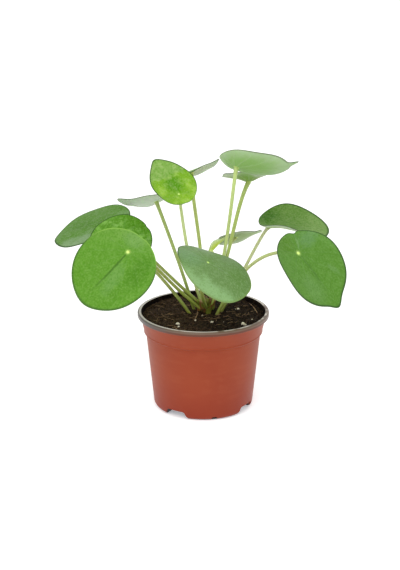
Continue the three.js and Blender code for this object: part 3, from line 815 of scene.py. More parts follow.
bpy.ops.mesh.primitive_grid_add(x_subdivisions=8, y_subdivisions=12, size=1)
model = bpy.context.object
for corner in model.data.vertices:
    side, share = corner.co.x * 2, corner.co.y + 0.5
    half = SCALE_WIDTH / 2 * (1 - share ** SCALE_TAPER) ** SCALE_FULLNESS + SCALE_TIP_WIDTH / 2
    out = SCALE_FLARE * share ** 2 - SCALE_CURL * side * side * (1 - share)
    corner.co = (half * side, -(STEM_RADIUS + SCALE_GAP + out), SCALE_LENGTH * share)
apply_modifier(model, "SOLIDIFY", thickness=SCALE_THICKNESS, offset=0)
scales = []
for count in range(SCALE_COUNT):
    scale = copy_of(model)
    size = chance.uniform(*SCALE_SIZES)
    scale.scale = (size, 1 + SCALE_SPREAD * (count % 3) / 2, size)
    scale.rotation_euler.z = GOLDEN_ANGLE * count
    scale.location = STEM_PLACE + Vector((0, 0, SCALE_FOOT + SCALE_RISE * (count % 7)))
    scales.append(scale)
handles = [STRAW_FOOT.lerp(STRAW_TOP, share) for share in STRAW_SHARES]
handles[1].x += STRAW_BOW
radii = (STRAW_RADIUS, STRAW_RADIUS * STRAW_TAPER)
scales.append(strand("straw", [STRAW_FOOT, *handles, STRAW_TOP], radii))
scales = join("stem_scales", scales, [model])
smooth(scales, SCALE_CREASE)
papery, shader, place = new_material("papery_scale", {"Roughness": 0.6, "Specular IOR Level": 0.25})
lines = place.squeezed(3, 3, 0.5).speckle(300, 3.0)
patches = place.speckle(150, 2.0)
_, _, z = place.parts()
bract = (patches + lines * 0.3).step(0.58, 0.7).blend(SCALE_OLIVE, SCALE_RED)
bract = ((z + patches * 0.006).step(0.1, 0.103) + lines.step(0.62, 0.75) * 0.4).blend(bract, SCALE_STRAW)
place.feed(shader, {"Base Color": bract})
raise_bumps(shader, lines, SCALE_BUMP)
scales.data.materials.append(papery)
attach(scales, "root")

# Stalks. Each leaf stands on one long smooth juicy stalk, which bends out from the stem, or comes up beside
# it out of the compost, and widens a little where it joins the blade from below.
STALK_FOOT_RADIUS = 0.0015
STALK_FLARE = 0.0005
STALK_FLARE_START = 0.9
STALK_POINTS = 14
STALK_GAP = 0.0003
STALK_INTO_BLADE = 0.0002
STALK_CREASE = 60
STALK_BUMP = 0.00012
STALK_LIGHT_DEPTH = 0.001
STALK_LIGHT_TINT = (0.6, 1.0, 0.3)
SUNK_FOOT = 0.079
USUAL_THICK = 0.00155
USUAL_DIMPLE = {"depth": 0.0007, "radius": 0.004}
STALK_LIGHT = dye(190, 204, 136)
STALK_DEEP = dye(136, 152, 50)
STALK_FOOT_BROWN = dye(128, 112, 42)
STALK_GREENING = (0.088, 0.145)
STALK_BROWNING = (0.092, 0.103)


def on_stem(turn, height):
    """A point beside the stem, where a stalk of full thickness stands clear of it."""
    reach = STEM_RADIUS + STALK_GAP + STALK_FOOT_RADIUS
    angle = math.radians(turn)
    return (STEM_PLACE.x + reach * math.cos(angle), STEM_PLACE.y + reach * math.sin(angle), height)


# at is where a stalk meets its blade. lean is the way that the blade's upper face leans, and tilt how far,
# in degrees. base is the stalk's foot, and bend holds the two handles of its curve. skin is its colour,
# thick its radius at the blade, and dimple the hollow above it in the blade.
STALKS = {
    "leaf_front_left": {
        "at": (-0.06493, -0.054, 0.16198), "lean": 268.5, "tilt": 54, "skin": dye(158, 170, 84),
        "base": on_stem(204, 0.0905), "bend": [(-0.0392, 0.0046, 0.1201), (-0.0472, -0.0285, 0.1538)],
    },
    "leaf_far_left": {
        "at": (-0.092, 0.03, 0.1654), "lean": 207, "tilt": 20, "skin": dye(150, 162, 78),
        "base": on_stem(172, 0.0945), "bend": [(-0.0343, 0.0043, 0.1222), (-0.0706, 0.0487, 0.1524)],
    },
    "leaf_mid_left": {
        "at": (-0.07195, -0.012, 0.16304), "lean": 268.4, "tilt": 35.5, "skin": dye(160, 170, 96),
        "base": (-0.0082, 0.0017, SUNK_FOOT), "bend": [(-0.0279, 0.0005, 0.1148), (-0.0717, 0.0159, 0.1515)],
    },
    "leaf_back_left": {
        "at": (-0.04298, 0.025, 0.18677), "lean": 125.7, "tilt": 31, "skin": dye(160, 178, 100),
        "base": (-0.0066, 0.012, SUNK_FOOT), "bend": [(-0.0169, 0.0184, 0.1168), (-0.0352, 0.0141, 0.1689)],
        "thick": 0.00175,
    },
    "leaf_upper_left": {
        "at": (-0.02148, -0.015, 0.20322), "lean": 292.5, "tilt": 40.1, "skin": dye(190, 206, 136),
        "base": on_stem(236, 0.095), "bend": [(-0.0149, 0.0029, 0.1297), (-0.0201, 0.0119, 0.1879)],
        "thick": 0.0014,
    },
    "leaf_back_middle": {
        "at": (-0.01092, 0.034, 0.21187), "lean": 133, "tilt": 27.2, "skin": dye(168, 184, 98),
        "base": on_stem(132, 0.095), "bend": [(0.0023, 0.0161, 0.1377), (-0.0113, 0.0215, 0.1877)],
        "thick": 0.0017,
    },
    "leaf_top": {
        "at": (0.02942, 0.003, 0.22373), "lean": 53.4, "tilt": 36.9, "skin": dye(178, 196, 118),
        "base": on_stem(21, 0.095), "bend": [(0.0223, 0.0158, 0.1381), (0.0245, -0.0168, 0.1994)],
        "thick": 0.00165,
    },
    "leaf_under_top": {
        "at": (0.04153, 0.044, 0.20343), "lean": 96.4, "tilt": 21.7, "skin": dye(164, 182, 96),
        "base": on_stem(56, 0.092), "bend": [(0.0247, 0.0201, 0.1258), (0.0281, 0.0245, 0.1792)],
        "thick": 0.0019, "dimple": {"depth": 0.0035, "radius": 0.008},
    },
    "leaf_upper_right": {
        "at": (0.05926, 0.012, 0.16828), "lean": 27.8, "tilt": 8.6, "skin": dye(184, 190, 140),
        "base": (0.0115, 0.0045, SUNK_FOOT), "bend": [(0.033, 0.0135, 0.1123), (0.0516, 0.0212, 0.1555)],
        "dimple": {"depth": 0.003, "radius": 0.009},
    },
    "leaf_right": {
        "at": (0.08248, -0.041, 0.15707), "lean": 312.9, "tilt": 47.9, "skin": dye(176, 186, 122),
        "base": (0.0089, -0.0036, SUNK_FOOT), "bend": [(0.0368, 0.0133, 0.1406), (0.0625, -0.0142, 0.1529)],
    },
    "leaf_front": {
        "at": (0.00395, -0.055, 0.15302), "lean": 330.7, "tilt": 30.1, "skin": dye(150, 160, 84),
        "base": on_stem(275, 0.092), "bend": [(-0.001, -0.02, 0.109), (-0.006, -0.048, 0.131)],
    },
    "leaf_inner_right": {
        "at": (0.03005, 0.047, 0.14613), "lean": 113.6, "tilt": 32.5, "skin": dye(160, 170, 96),
        "base": on_stem(98, 0.0915), "bend": [(0.0243, 0.0287, 0.1068), (0.0182, 0.0385, 0.1403)],
    },
    "leaf_young": {
        "at": (0.0065, 0.009, 0.1438), "lean": 129, "tilt": 60, "skin": dye(186, 200, 124),
        "base": on_stem(335, 0.093), "bend": [(0.0133, 0.0027, 0.109), (0.015, -0.0014, 0.1359)],
    },
}


def facing(leaf):
    """The turn that lays a blade's upper face the way it leans."""
    lean, tilt = math.radians(leaf["lean"]), math.radians(leaf["tilt"])
    return Matrix.Rotation(lean, 3, "Z") @ Matrix.Rotation(tilt, 3, "Y")


def stalk_radius(share, thick):
    """A stalk's radius, from its foot at 0 to the blade at 1."""
    flare = STALK_FLARE * max(0, share - STALK_FLARE_START) / (1 - STALK_FLARE_START)
    return STALK_FOOT_RADIUS + (thick - STALK_FOOT_RADIUS) * share + flare


def flesh(weight, depth, tint):
    """Shader values for juicy flesh that light sinks into, by a depth in metres, and leaves with a tint."""
    return {"Subsurface Weight": weight, "Subsurface Scale": depth, "Subsurface Radius": tint}


def stalk_skin(name, skin):
    """The smooth juicy skin of one stalk: its own green above, olive lower down and brown at the foot."""
    sap = flesh(0.15, STALK_LIGHT_DEPTH, STALK_LIGHT_TINT)
    juicy, shader, place = new_material(name, {"Specular IOR Level": 0.5, **sap})
    _, _, z = place.parts()
    patches = place.speckle(45, 2.0)
    green = (z + patches * 0.02).step(*STALK_GREENING).blend(STALK_DEEP, skin)
    foot = 1 - (z + patches * 0.012).step(*STALK_BROWNING)
    ribs = place.squeezed(1, 1, 0.1).speckle(900, 2.0)
    green = (ribs.step(0.55, 0.75) * 0.3).blend(green, STALK_LIGHT)
    place.feed(shader, {
        "Base Color": (foot * 0.35).blend(green, STALK_FOOT_BROWN),
        "Roughness": 0.34 + patches * 0.12,
    })
    raise_bumps(shader, ribs + patches * 0.5, STALK_BUMP)
    return juicy


for name, leaf in STALKS.items():
    upward = facing(leaf) @ Vector((0, 0, 1))
    dimple = leaf.get("dimple", USUAL_DIMPLE)
    top = Vector(leaf["at"]) - upward * (dimple["depth"] + STALK_INTO_BLADE)
    points = [Vector(leaf["base"]), *[Vector(handle) for handle in leaf["bend"]], top]
    thick = leaf.get("thick", USUAL_THICK)
    radii = [stalk_radius(count / (STALK_POINTS - 1), thick) for count in range(STALK_POINTS)]
    stalk = strand(f"{name}_petiole", points, radii)
    smooth(stalk, STALK_CREASE)
    stalk.data.materials.append(stalk_skin(f"{name}_skin", leaf["skin"]))
    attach(stalk, "root")
    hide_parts(f"{name}_stalk")

# Blades. Each is a round, slightly fleshy leaf, waxy green above and pale below. Its stalk joins it from
# below, well inside the edge, at a small dimple with a pale spot on top, and veins spread from the spot.
BLADE_THICKNESS = 0.001
BLADE_RIM_SHARE = 0.6
BLADE_SIDES = 160
BLADE_RINGS = 38
BLADE_CREASE = 40
NICK_SPREAD = 0.087
RIM_WAVE = 0.0005
RIM_WAVE_COUNT = 5
VEIN_COUNT = 11
VEIN_CURL = 7.0
VEIN_DEPTH = 0.00016
VEIN_WIDTH = 0.0011
VEIN_START = 0.008
QUILT_DEPTH = 0.00022
QUILT_SCALE = 170
SPOT_YELLOW = dye(208, 238, 130)
BLADE_EDGE = dye(44, 74, 30)
BLADE_EDGE_GLINT = dye(142, 186, 80)
BLADE_EDGE_PALE = dye(112, 140, 76)
BLADE_EDGE_GREY = dye(100, 110, 82)
BLADE_EDGE_WAN = dye(150, 164, 142)
RIB_GREEN = dye(58, 100, 22)
UNDER_GREY = dye(194, 208, 184)
# Tones for patches. The grey-green one is painted sheen and also the veins' own paler colour, the bluish one
# painted sheen, and the lime one painted light shining through a blade.
TONES = {
    "haze": dye(128, 160, 112), "blue": dye(112, 148, 110), "lime": dye(158, 196, 58),
    "yellow": dye(78, 120, 26), "lush": dye(112, 160, 56),
}
SHADED_UPPER = {"green": dye(89, 135, 40), "pale": dye(112, 149, 73), "deep": dye(71, 121, 8)}
FRESH_UPPER = {"green": dye(97, 142, 48), "pale": dye(120, 155, 79), "deep": dye(77, 127, 13)}
UPPER_VEIN = (0.0001, 0.0012)
UPPER_VEIN_START = (0.001, 0.007)
UNDER_VEIN = (0.0001, 0.0010)
UNDER_VEIN_START = (0.001, 0.006)
RIB_LINE = (0.0001, 0.0015)
RIB_START = (0.001, 0.005)
RIB_END = (0.30, 0.72)
UPPER_EDGE_LINE = (0.952, 0.985)
UNDER_EDGE_LINE = (0.965, 0.99)
UNDER_SPOT = (0.0014, 0.0036)
RIB_BEND = 1.5
RIB_WANDER = 0.0012
MOTTLE_SCALE = 30
BLADE_LIGHT_DEPTH = 0.0012
BLADE_LIGHT_TINT = (0.5, 1.0, 0.25)
UPPER_BUMP = 0.0002
UNDER_BUMP = 0.0001
FLAT_SIZE = 0.1

# turn takes the tip round from straight downhill. length and width are the size. foot is where the stalk
# sits, as a share of the length. egg narrows the tip end. point draws the tip out, and sharp thins it.
# arch and roll curve the blade down along and across, twist winds it, and nick cuts into its edge, at
# nick_at degrees from the tip. spot is the pale spot's radius. veins and rib are how strongly they show,
# quilt how uneven the blade is, and sheen how waxy. green, pale and deep are the upper face's colours, and
# under the underside's, which pales to its edge by wan. pale_side is the turn from the tip of the upper
# face's pale side, which is painted sheen, and fade where that side begins and ends. edge_side is the turn
# of the side where the edge takes its own colour, edge, and edging how strong its line is; on some blades
# that colour is a painted highlight. patches are the upper face's cloudy places, and under_patches the
# underside's: x along the blade, y across it and their two half widths, in millimetres, then their turn
# in degrees, their tone, which TONES or the blade's own colours name, and their strength. Patches in the
# grey-green and bluish tones are painted sheen, and those in the lime tone painted light shining through
# the blade. Most uppers that the photograph doesn't show share SHADED_UPPER or FRESH_UPPER.
USUAL = {
    "sharp": 12, "nick": 0.0004, "nick_at": 180, "spot": 0.002, "veins": 0.08, "rib": 0.3, "quilt": 0.7,
    "sheen": 0.2, "edge": BLADE_EDGE, "edge_side": 180, "edging": 0.85, "wan": 0.8,
    "under": dye(129, 157, 101), "pale_side": 0, "fade": (0.10, 0.50), "patches": [], "under_patches": [],
}
BLADES = {
    "leaf_front_left": {
        "turn": -37.4, "length": 0.0761, "width": 0.0706, "foot": 0.236, "egg": 0.05, "point": 0.0014,
        "arch": 0.023, "roll": -0.045, "twist": 0.012, "nick": 0.0006,
        "green": dye(87, 139, 34), "pale": dye(112, 154, 68), "deep": dye(64, 118, 0), "sheen": 0.1,
        "edge": BLADE_EDGE_GLINT, "edge_side": 190, "edging": 0.6, "spot": 0.0018, "rib": 0.8, "veins": 0.05,
        "pale_side": 200, "patches": [
            (10, 19, 22, 11, 0, "deep", 0.8), (40, 14, 16, 8, 20, "deep", 0.3),
            (27, 5.5, 20, 7.5, 6, "haze", 0.24), (-12, -2, 9, 13, 0, "haze", 0.26),
        ],
    },
    "leaf_far_left": {
        "turn": -42, "length": 0.0747, "width": 0.0714, "foot": 0.34, "egg": 0.07, "point": 0.0018,
        "arch": 0.1, "roll": 0.03, "twist": -0.03, "spot": 0.0005, "quilt": 0.5, "sheen": 0.03, "veins": 0.04,
        "green": dye(80, 122, 42), "pale": dye(122, 148, 108), "deep": dye(66, 110, 22),
        "pale_side": 96, "fade": (0.28, 0.50), "patches": [
            (22, -3, 22, 12, -20, "deep", 0.6), (-18, -12, 10, 8, 0, "haze", 0.4),
        ],
    },
    "leaf_mid_left": {
        "turn": -58.4, "length": 0.0572, "width": 0.0552, "foot": 0.452, "egg": 0.123, "point": 0.001,
        "arch": 0.085, "roll": 0.101, "twist": 0.003, "nick": 0.0008, "quilt": 2.6, "sheen": 0.08,
        "green": dye(102, 154, 50), "pale": dye(124, 168, 80), "deep": dye(70, 122, 16),
        "pale_side": 90, "fade": (0.34, 0.55), "patches": [
            (-19, -3, 10, 14, 0, "deep", 0.8), (-19, 16, 5, 6, 0, "haze", 0.4),
        ],
    },
    "leaf_back_left": {
        "turn": 74.5, "length": 0.0452, "width": 0.042, "foot": 0.333, "egg": 0.102, "point": 0.0043,
        "arch": -0.179, "roll": -0.044, "twist": -0.048, "edge": BLADE_EDGE_WAN,
        **SHADED_UPPER, "under": dye(196, 212, 190), "patches": [(0, 5, 10, 10, 0, "deep", 0.6)],
    },
    "leaf_upper_left": {
        "turn": 195.7, "length": 0.0486, "width": 0.0394, "foot": 0.233, "egg": 0.223, "point": 0.0041,
        "arch": 0.003, "roll": -0.154, "twist": -0.154, "quilt": 1.5, "sheen": 0.06, "spot": 0.0009,
        "veins": 0.02, "rib": 0, "edge": BLADE_EDGE_PALE, "under": dye(158, 190, 110),
        "green": dye(134, 176, 46), "pale": dye(138, 170, 92), "deep": dye(74, 132, 0),
        "fade": (0.50, 0.58), "patches": [
            (11, -1, 11, 10, 0, "deep", 1.0), (-7, -2, 6, 14, 0, "lime", 0.8),
            (9, 14, 9, 6, 0, "lime", 0.7), (0, -13, 9, 5, 0, "lime", 0.6),
        ],
    },
    "leaf_back_middle": {
        "turn": -141.5, "length": 0.0388, "width": 0.0369, "foot": 0.338, "egg": 0.077, "point": 0.002,
        "arch": -0.045, "roll": 0.137, "twist": -0.007, "edge": BLADE_EDGE_GREY,
        **FRESH_UPPER, "under": dye(174, 186, 150), "patches": [(0, 5, 8, 8, 0, "deep", 0.6)],
    },
    "leaf_top": {
        "turn": -72.3, "length": 0.0617, "width": 0.0574, "foot": 0.273, "egg": 0.009, "point": 0.0067,
        "sharp": 150, "arch": -0.238, "roll": -0.216, "twist": 0.028, "edge": BLADE_EDGE_GREY,
        **SHADED_UPPER, "under": dye(138, 176, 104), "wan": 0.5,
        "fade": (0.10, 0.60), "patches": [(10, 10, 15, 15, 0, "deep", 0.6)],
        "under_patches": [(12, -8, 30, 18, -40, "lush", 0.3)],
    },
    "leaf_under_top": {
        "turn": 45, "length": 0.0407, "width": 0.0377, "foot": 0.365, "egg": 0.123, "point": 0.0032,
        "arch": -0.108, "roll": -0.176, "twist": 0.031, "edge": BLADE_EDGE_GREY,
        **FRESH_UPPER, "under": dye(134, 160, 88), "patches": [(5, -5, 10, 10, 0, "deep", 0.6)],
        "under_patches": [(-4, 10, 9, 12, 0, "lush", 0.6)],
    },
    "leaf_upper_right": {
        "turn": -12.5, "length": 0.0628, "width": 0.0598, "foot": 0.13, "egg": 0.135, "point": 0.0036,
        "arch": 0.002, "roll": -0.247, "twist": 0.287, "quilt": 0.6, "sheen": 0.08,
        "green": dye(95, 130, 58), "pale": dye(118, 148, 84), "deep": dye(54, 104, 0),
        "under": dye(160, 182, 130), "pale_side": 330, "fade": (0.45, 0.85), "patches": [
            (2, 20, 15, 15, 0, "deep", 1.0), (16, -10, 14, 3.5, -25, "pale", 0.7),
        ],
    },
    "leaf_right": {
        "turn": 18.2, "length": 0.0734, "width": 0.0697, "foot": 0.27, "egg": 0.113, "point": 0.0055,
        "sharp": 40, "arch": 0.06, "roll": -0.165, "twist": 0.173, "nick": 0.0022, "nick_at": 160,
        "green": dye(82, 128, 40), "pale": dye(101, 144, 68), "deep": dye(64, 112, 18),
        "spot": 0.0019, "veins": 0.05, "sheen": 0.18,
        "pale_side": 110, "fade": (0.42, 0.62), "patches": [
            (-13, -7, 12, 15, 0, "yellow", 0.9), (-4, 20, 9, 14, 0, "blue", 0.4),
            (20, -1, 18, 4, -4, "deep", 0.5), (31, 17.5, 9, 3, 14, "haze", 0.25),
            (-8, 8, 10, 1.6, 146, "haze", 0.4), (32, -13, 19, 12, 0, "haze", 0.22),
        ],
    },
    # Its pale edge on its lower side is a painted highlight, and its bluish patch painted sheen.
    "leaf_front": {
        "turn": 25.1, "length": 0.0718, "width": 0.0676, "foot": 0.399, "egg": 0.057, "point": 0.0008,
        "arch": 0.093, "roll": 0.249, "twist": 0.221, "nick": 0.0006,
        "green": dye(96, 128, 70), "pale": dye(130, 166, 110), "deep": dye(84, 122, 48),
        "spot": 0.0011, "veins": 0, "rib": 0, "quilt": 0.3, "edge": BLADE_EDGE_PALE, "edge_side": 300,
        "pale_side": 270, "fade": (0.34, 0.54), "patches": [
            (-18, -4, 16, 16, 0, "blue", 0.5), (28, 4, 14, 14, 0, "deep", 0.7),
        ],
    },
    "leaf_inner_right": {
        "turn": -73.7, "length": 0.0437, "width": 0.0405, "foot": 0.36, "egg": 0.099, "point": 0.0025,
        "arch": -0.085, "roll": 0.071, "twist": -0.001, "edge": BLADE_EDGE_GREY,
        "green": dye(77, 120, 30), "pale": dye(99, 138, 56), "deep": dye(61, 104, 3),
        "under": dye(142, 168, 106), "wan": 0.5,
        "fade": (0.30, 0.60), "patches": [(-3, 12, 10, 10, 0, "deep", 0.8)],
    },
    "leaf_young": {
        "turn": -148, "length": 0.022, "width": 0.009, "foot": 0.1, "egg": 0.1, "point": 0.001,
        "arch": 0.05, "roll": -0.5, "twist": 0, "spot": 0.0006, "quilt": 0.3, "edge": BLADE_EDGE_PALE,
        "green": dye(198, 216, 96), "pale": dye(206, 222, 116), "deep": dye(176, 200, 60),
        "under": dye(194, 214, 86), "fade": (0.30, 0.60), "patches": [(10, 0, 6, 6, 0, "deep", 0.5)],
    },
}


def vein_share(x, y):
    """How near a point of a blade is to a vein, from 0 to 1."""
    far = math.hypot(x, y)
    angle = math.atan2(y, x)
    angle += VEIN_CURL * far * math.sin(angle)
    spacing = 2 * math.pi / VEIN_COUNT
    aside = abs((angle / spacing + 0.5) % 1 - 0.5) * spacing * far
    return math.exp(-(aside / VEIN_WIDTH) ** 2) * min(1, far / VEIN_START)


def blade_height(blade, x, y):
    """How high the middle of a blade's thickness lies over the flat."""
    hollow = blade["dimple"]["depth"] * math.exp(-(x * x + y * y) / blade["dimple"]["radius"] ** 2)
    bow = (blade["arch"] * x * x - blade["twist"] * x * y) / (blade["length"] / 2)
    return -bow - blade["roll"] * y * y / (blade["width"] / 2) - hollow


def blade_outline(blade, angle):
    """A point on a blade's edge, with the stalk at the origin and the tip along X."""
    along = math.cos(angle)
    aside = abs(angle - math.radians(blade["nick_at"]))
    nick = blade["nick"] * math.exp(-(min(aside, 2 * math.pi - aside) / NICK_SPREAD) ** 2)
    x = blade["length"] / 2 * along + blade["point"] * max(0, along) ** blade["sharp"] + nick
    y = blade["width"] / 2 * math.sin(angle) * (1 - blade["egg"] * along)
    return x + (0.5 - blade["foot"]) * blade["length"], y


bpy.ops.mesh.primitive_circle_add(vertices=BLADE_SIDES, radius=1, fill_type="NOTHING")
disc = bpy.context.object
bpy.ops.object.mode_set(mode="EDIT")
for ring in range(BLADE_RINGS - 1):
    before, after = 1 - ring / BLADE_RINGS, 1 - (ring + 1) / BLADE_RINGS
    bpy.ops.mesh.extrude_region_move(TRANSFORM_OT_translate={"value": (0, 0, 0)})
    bpy.ops.transform.resize(value=(after / before, after / before, 1), center_override=(0, 0, 0))
bpy.ops.mesh.extrude_region_move(TRANSFORM_OT_translate={"value": (0, 0, 0)})
bpy.ops.mesh.merge(type="CENTER")
bpy.ops.mesh.select_all(action="SELECT")
bpy.ops.mesh.normals_make_consistent(inside=False)
bpy.ops.object.mode_set(mode="OBJECT")
if disc.data.polygons[0].normal.z < 0:
    disc.data.flip_normals()


def blade_plane(place):
    """A blade's own plane, for patterns, with a point's x to the tip and y across, from the stalk."""
    flat = place.node("ShaderNodeUVMap", {"uv_map": "flat"}, {})
    u, v, _ = flat.parts()
    return flat, (u - 0.5) * FLAT_SIZE, (v - 0.5) * FLAT_SIZE


def warped(flat):
    """A blade's plane with its patterns strayed a little, so that they aren't even."""
    stray = flat.node("ShaderNodeTexNoise", {}, {"Vector": flat, "Scale": 16.0}, 1)
    warp = {0: stray, 1: (0.06, 0.06, 0), 2: flat}
    return flat.node("ShaderNodeVectorMath", {"operation": "MULTIPLY_ADD"}, warp)


def vein_gap(flat, x, y, far):
    """How far a point of a blade is from the nearest vein. far is how far it is from the stalk."""
    angle = y.math("ARCTAN2", y, x)
    angle = angle + far * VEIN_CURL * angle.math("SINE", angle) + (flat.speckle(11.0) - 0.5) * 0.25
    return angle.math("PINGPONG", angle, math.pi / VEIN_COUNT) * far


def patched(colour, patches, tones, x, y, ragged):
    """Lays patches over a colour. Their edges are soft, and ragged, from 0 to 1, moves them in and out."""
    for middle_x, middle_y, along, across, turn, tone, strength in patches:
        cos, sin = math.cos(math.radians(turn)), math.sin(math.radians(turn))
        beside_x, beside_y = x * 1000 - middle_x, y * 1000 - middle_y
        reach_x = (beside_x * cos + beside_y * sin) / along
        reach_y = (beside_y * cos - beside_x * sin) / across
        away = (reach_x * reach_x + reach_y * reach_y) ** 0.5 + (ragged - 0.5) * 0.8
        colour = ((1 - away.step(0.3, 1.15)) * strength).blend(colour, tones[tone])
    return colour


def edge_colour(blade, x, y):
    """The line along a blade's edge: dark, but of the blade's own edge colour round its edge_side, which on
    some blades is a painted highlight.
    """
    turn = math.radians(blade["edge_side"])
    side = (x * math.cos(turn) + y * math.sin(turn)) / blade["length"]
    return side.step(-0.15, 0.15).blend(BLADE_EDGE, blade["edge"])


def upper_paint(name, blade):
    """The waxy upper face of one blade, with its cloudy patches and painted sheen, quilted blisters, rib,
    veins and edge.
    """
    sap = flesh(0.1, BLADE_LIGHT_DEPTH, BLADE_LIGHT_TINT)
    waxy, shader, place = new_material(name, {"Specular IOR Level": blade["sheen"], **sap})
    flat, x, y = blade_plane(place)
    bent = warped(flat)
    far = (x * x + y * y) ** 0.5
    share = place.node("ShaderNodeAttribute", {"attribute_name": "share"}, {}, "Fac")
    clouds = flat.speckle(9.0, 3.0)
    mottle = flat.speckle(MOTTLE_SCALE, 2.0)
    grains = flat.speckle(62.0, 3.0)
    cell = {"Vector": bent, "Scale": 19.0, "Smoothness": 0.6}
    blister = 1 - bent.node("ShaderNodeTexVoronoi", {"feature": "SMOOTH_F1"}, cell).step(0.12, 0.62)
    # One side of the upper face is painted pale, as painted sheen.
    turn = math.radians(blade["pale_side"])
    side = (x * math.cos(turn) + y * math.sin(turn)) / blade["length"] + clouds * 0.3
    colour = side.step(*blade["fade"]).blend(blade["green"], blade["pale"])
    colour = patched(colour, blade["patches"], {**TONES, **blade}, x, y, mottle)
    # The blisters' tops are painted paler and the hollows between them darker, as painted light and shade on
    # the quilting.
    colour = (blister * 0.25 * blade["quilt"]).blend(colour, blade["pale"])
    colour = ((1 - blister) * 0.3 * blade["quilt"]).blend(colour, blade["deep"])
    colour = (mottle.step(0.45, 0.7) * 0.25).blend(colour, blade["pale"])
    colour = (grains.step(0.5, 0.72) * 0.5).blend(colour, blade["pale"])
    colour = ((1 - grains.step(0.3, 0.5)) * 0.5).blend(colour, blade["deep"])
    veins = (1 - vein_gap(flat, x, y, far).step(*UPPER_VEIN)) * far.step(*UPPER_VEIN_START)
    veins = veins * (1 - share.step(0.5, 0.95))
    colour = (veins * blade["veins"]).blend(colour, TONES["haze"])
    waver = y + far * far * RIB_BEND + (mottle - 0.5) * RIB_WANDER
    rib = 1 - waver.math("ABSOLUTE", waver).step(*RIB_LINE)
    rib = rib * (1 - (x / blade["length"]).step(*RIB_END)) * x.step(*RIB_START)
    colour = (rib * blade["rib"]).blend(colour, RIB_GREEN)
    colour = (share.step(*UPPER_EDGE_LINE) * blade["edging"]).blend(colour, edge_colour(blade, x, y))
    colour = ((1 - far.step(blade["spot"] * 0.6, blade["spot"] * 2.0)) * 0.3).blend(colour, SPOT_YELLOW)
    colour = (1 - far.step(blade["spot"] * 0.4, blade["spot"] * 1.1)).blend(colour, SPOT_YELLOW)
    roughness = 0.38 + clouds * 0.12 + side.step(0.1, 0.5) * 0.08
    place.feed(shader, {"Base Color": colour, "Roughness": roughness})
    raise_bumps(shader, blister * 0.6 * blade["quilt"] + grains * 0.2 - veins * 0.3 - rib * 0.8, UPPER_BUMP)
    return waxy


def under_paint(name, blade):
    """The pale matt underside of one blade, greener near the stalk, with its veins standing out."""
    sap = flesh(0.12, BLADE_LIGHT_DEPTH, BLADE_LIGHT_TINT)
    matt, shader, place = new_material(name, {"Specular IOR Level": 0.15, **sap})
    flat, x, y = blade_plane(place)
    far = (x * x + y * y) ** 0.5
    share = place.node("ShaderNodeAttribute", {"attribute_name": "share"}, {}, "Fac")
    clouds = warped(flat).speckle(8.0, 3.0)
    mottle = flat.speckle(MOTTLE_SCALE, 2.0)
    grains = flat.speckle(110.0, 2.0)
    colour = ((share + clouds * 0.5).step(0.7, 1.35) * blade["wan"]).blend(blade["under"], UNDER_GREY)
    colour = patched(colour, blade["under_patches"], TONES, x, y, mottle)
    veins = (1 - vein_gap(flat, x, y, far).step(*UNDER_VEIN)) * far.step(*UNDER_VEIN_START)
    veins = veins * (1 - share.step(0.6, 1.0))
    colour = (veins * 0.12).blend(colour, UNDER_GREY)
    colour = (grains.step(0.5, 0.75) * 0.12).blend(colour, UNDER_GREY)
    colour = (share.step(*UNDER_EDGE_LINE) * 0.6).blend(colour, blade["edge"])
    colour = ((1 - far.step(*UNDER_SPOT)) * 0.85).blend(colour, SPOT_YELLOW)
    place.feed(shader, {"Base Color": colour, "Roughness": 0.55 + clouds * 0.15})
    raise_bumps(shader, veins + grains * 0.3, UNDER_BUMP)
    return matt


def rim_paint(name, blade):
    """The thin side of a blade's edge."""
    thin, shader, place = new_material(name, {"Roughness": 0.5})
    _, x, y = blade_plane(place)
    colour = (place.speckle(120) * 0.3).blend(edge_colour(blade, x, y), BLADE_EDGE_PALE)
    place.feed(shader, {"Base Color": colour})
    return thin


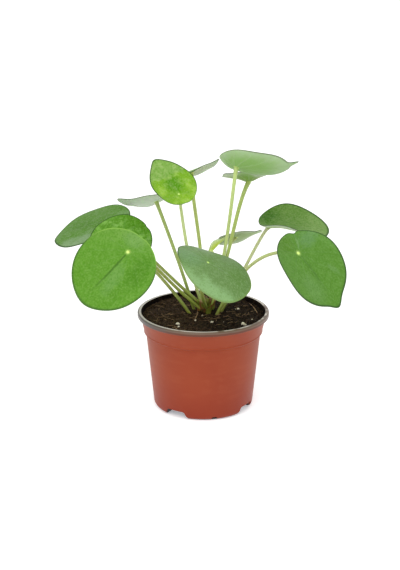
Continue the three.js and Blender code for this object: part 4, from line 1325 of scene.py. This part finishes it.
def shape_blade(name, blade):
    """One blade in its own plane: the disc, brought to its outline, bowed, quilted and grooved by veins."""
    piece = copy_of(disc)
    piece.name = f"{name}_lamina"
    mesh = piece.data
    shares, plane = [], []
    for corner in mesh.vertices:
        share, angle = math.hypot(corner.co.x, corner.co.y), math.atan2(corner.co.y, corner.co.x)
        rim_x, rim_y = blade_outline(blade, angle)
        x, y = rim_x * share, rim_y * share
        wave = RIM_WAVE * share ** 3 * math.sin(RIM_WAVE_COUNT * angle + blade["length"] * 1000)
        uneven = noise.noise(Vector((x, y, blade["length"])) * QUILT_SCALE) * (1 - share ** 6)
        quilt = QUILT_DEPTH * blade["quilt"] * uneven
        groove = VEIN_DEPTH * vein_share(x, y) * (1 - share ** 4)
        corner.co = (x, y, blade_height(blade, x, y) + wave + quilt - groove)
        shares.append(share)
        plane.append((x / FLAT_SIZE + 0.5, y / FLAT_SIZE + 0.5))
    thick = piece.vertex_groups.new(name="thickness")
    for index, share in enumerate(shares):
        thick.add([index], 1 - (1 - BLADE_RIM_SHARE) * share ** 2, "REPLACE")
    mesh.attributes.new("share", "FLOAT", "POINT").data.foreach_set("value", shares)
    flat = mesh.uv_layers.new(name="flat")
    for loop in mesh.loops:
        flat.data[loop.index].uv = plane[loop.vertex_index]
    return piece


for name, own in BLADES.items():
    leaf = STALKS[name]
    blade = {**USUAL, "dimple": leaf.get("dimple", USUAL_DIMPLE), **own}
    piece = shape_blade(name, blade)
    for side, paint in (("upper", upper_paint), ("under", under_paint), ("rim", rim_paint)):
        piece.data.materials.append(paint(f"{name}_{side}", blade))
    apply_modifier(
        piece, "SOLIDIFY", thickness=BLADE_THICKNESS, offset=0, vertex_group="thickness",
        thickness_vertex_group=0, material_offset=1, material_offset_rim=2, use_quality_normals=True,
    )
    turned = facing(leaf) @ Matrix.Rotation(math.radians(blade["turn"]), 3, "Z")
    piece.data.transform(Matrix.Translation(leaf["at"]) @ turned.to_4x4())
    smooth(piece, BLADE_CREASE)
    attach(piece, "root")
    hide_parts(f"{name}_blade")
bpy.data.objects.remove(disc)

boxes = {"cad": cad_box, "visual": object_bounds()}
{name: [list(corner) for corner in box] for name, box in boxes.items()}
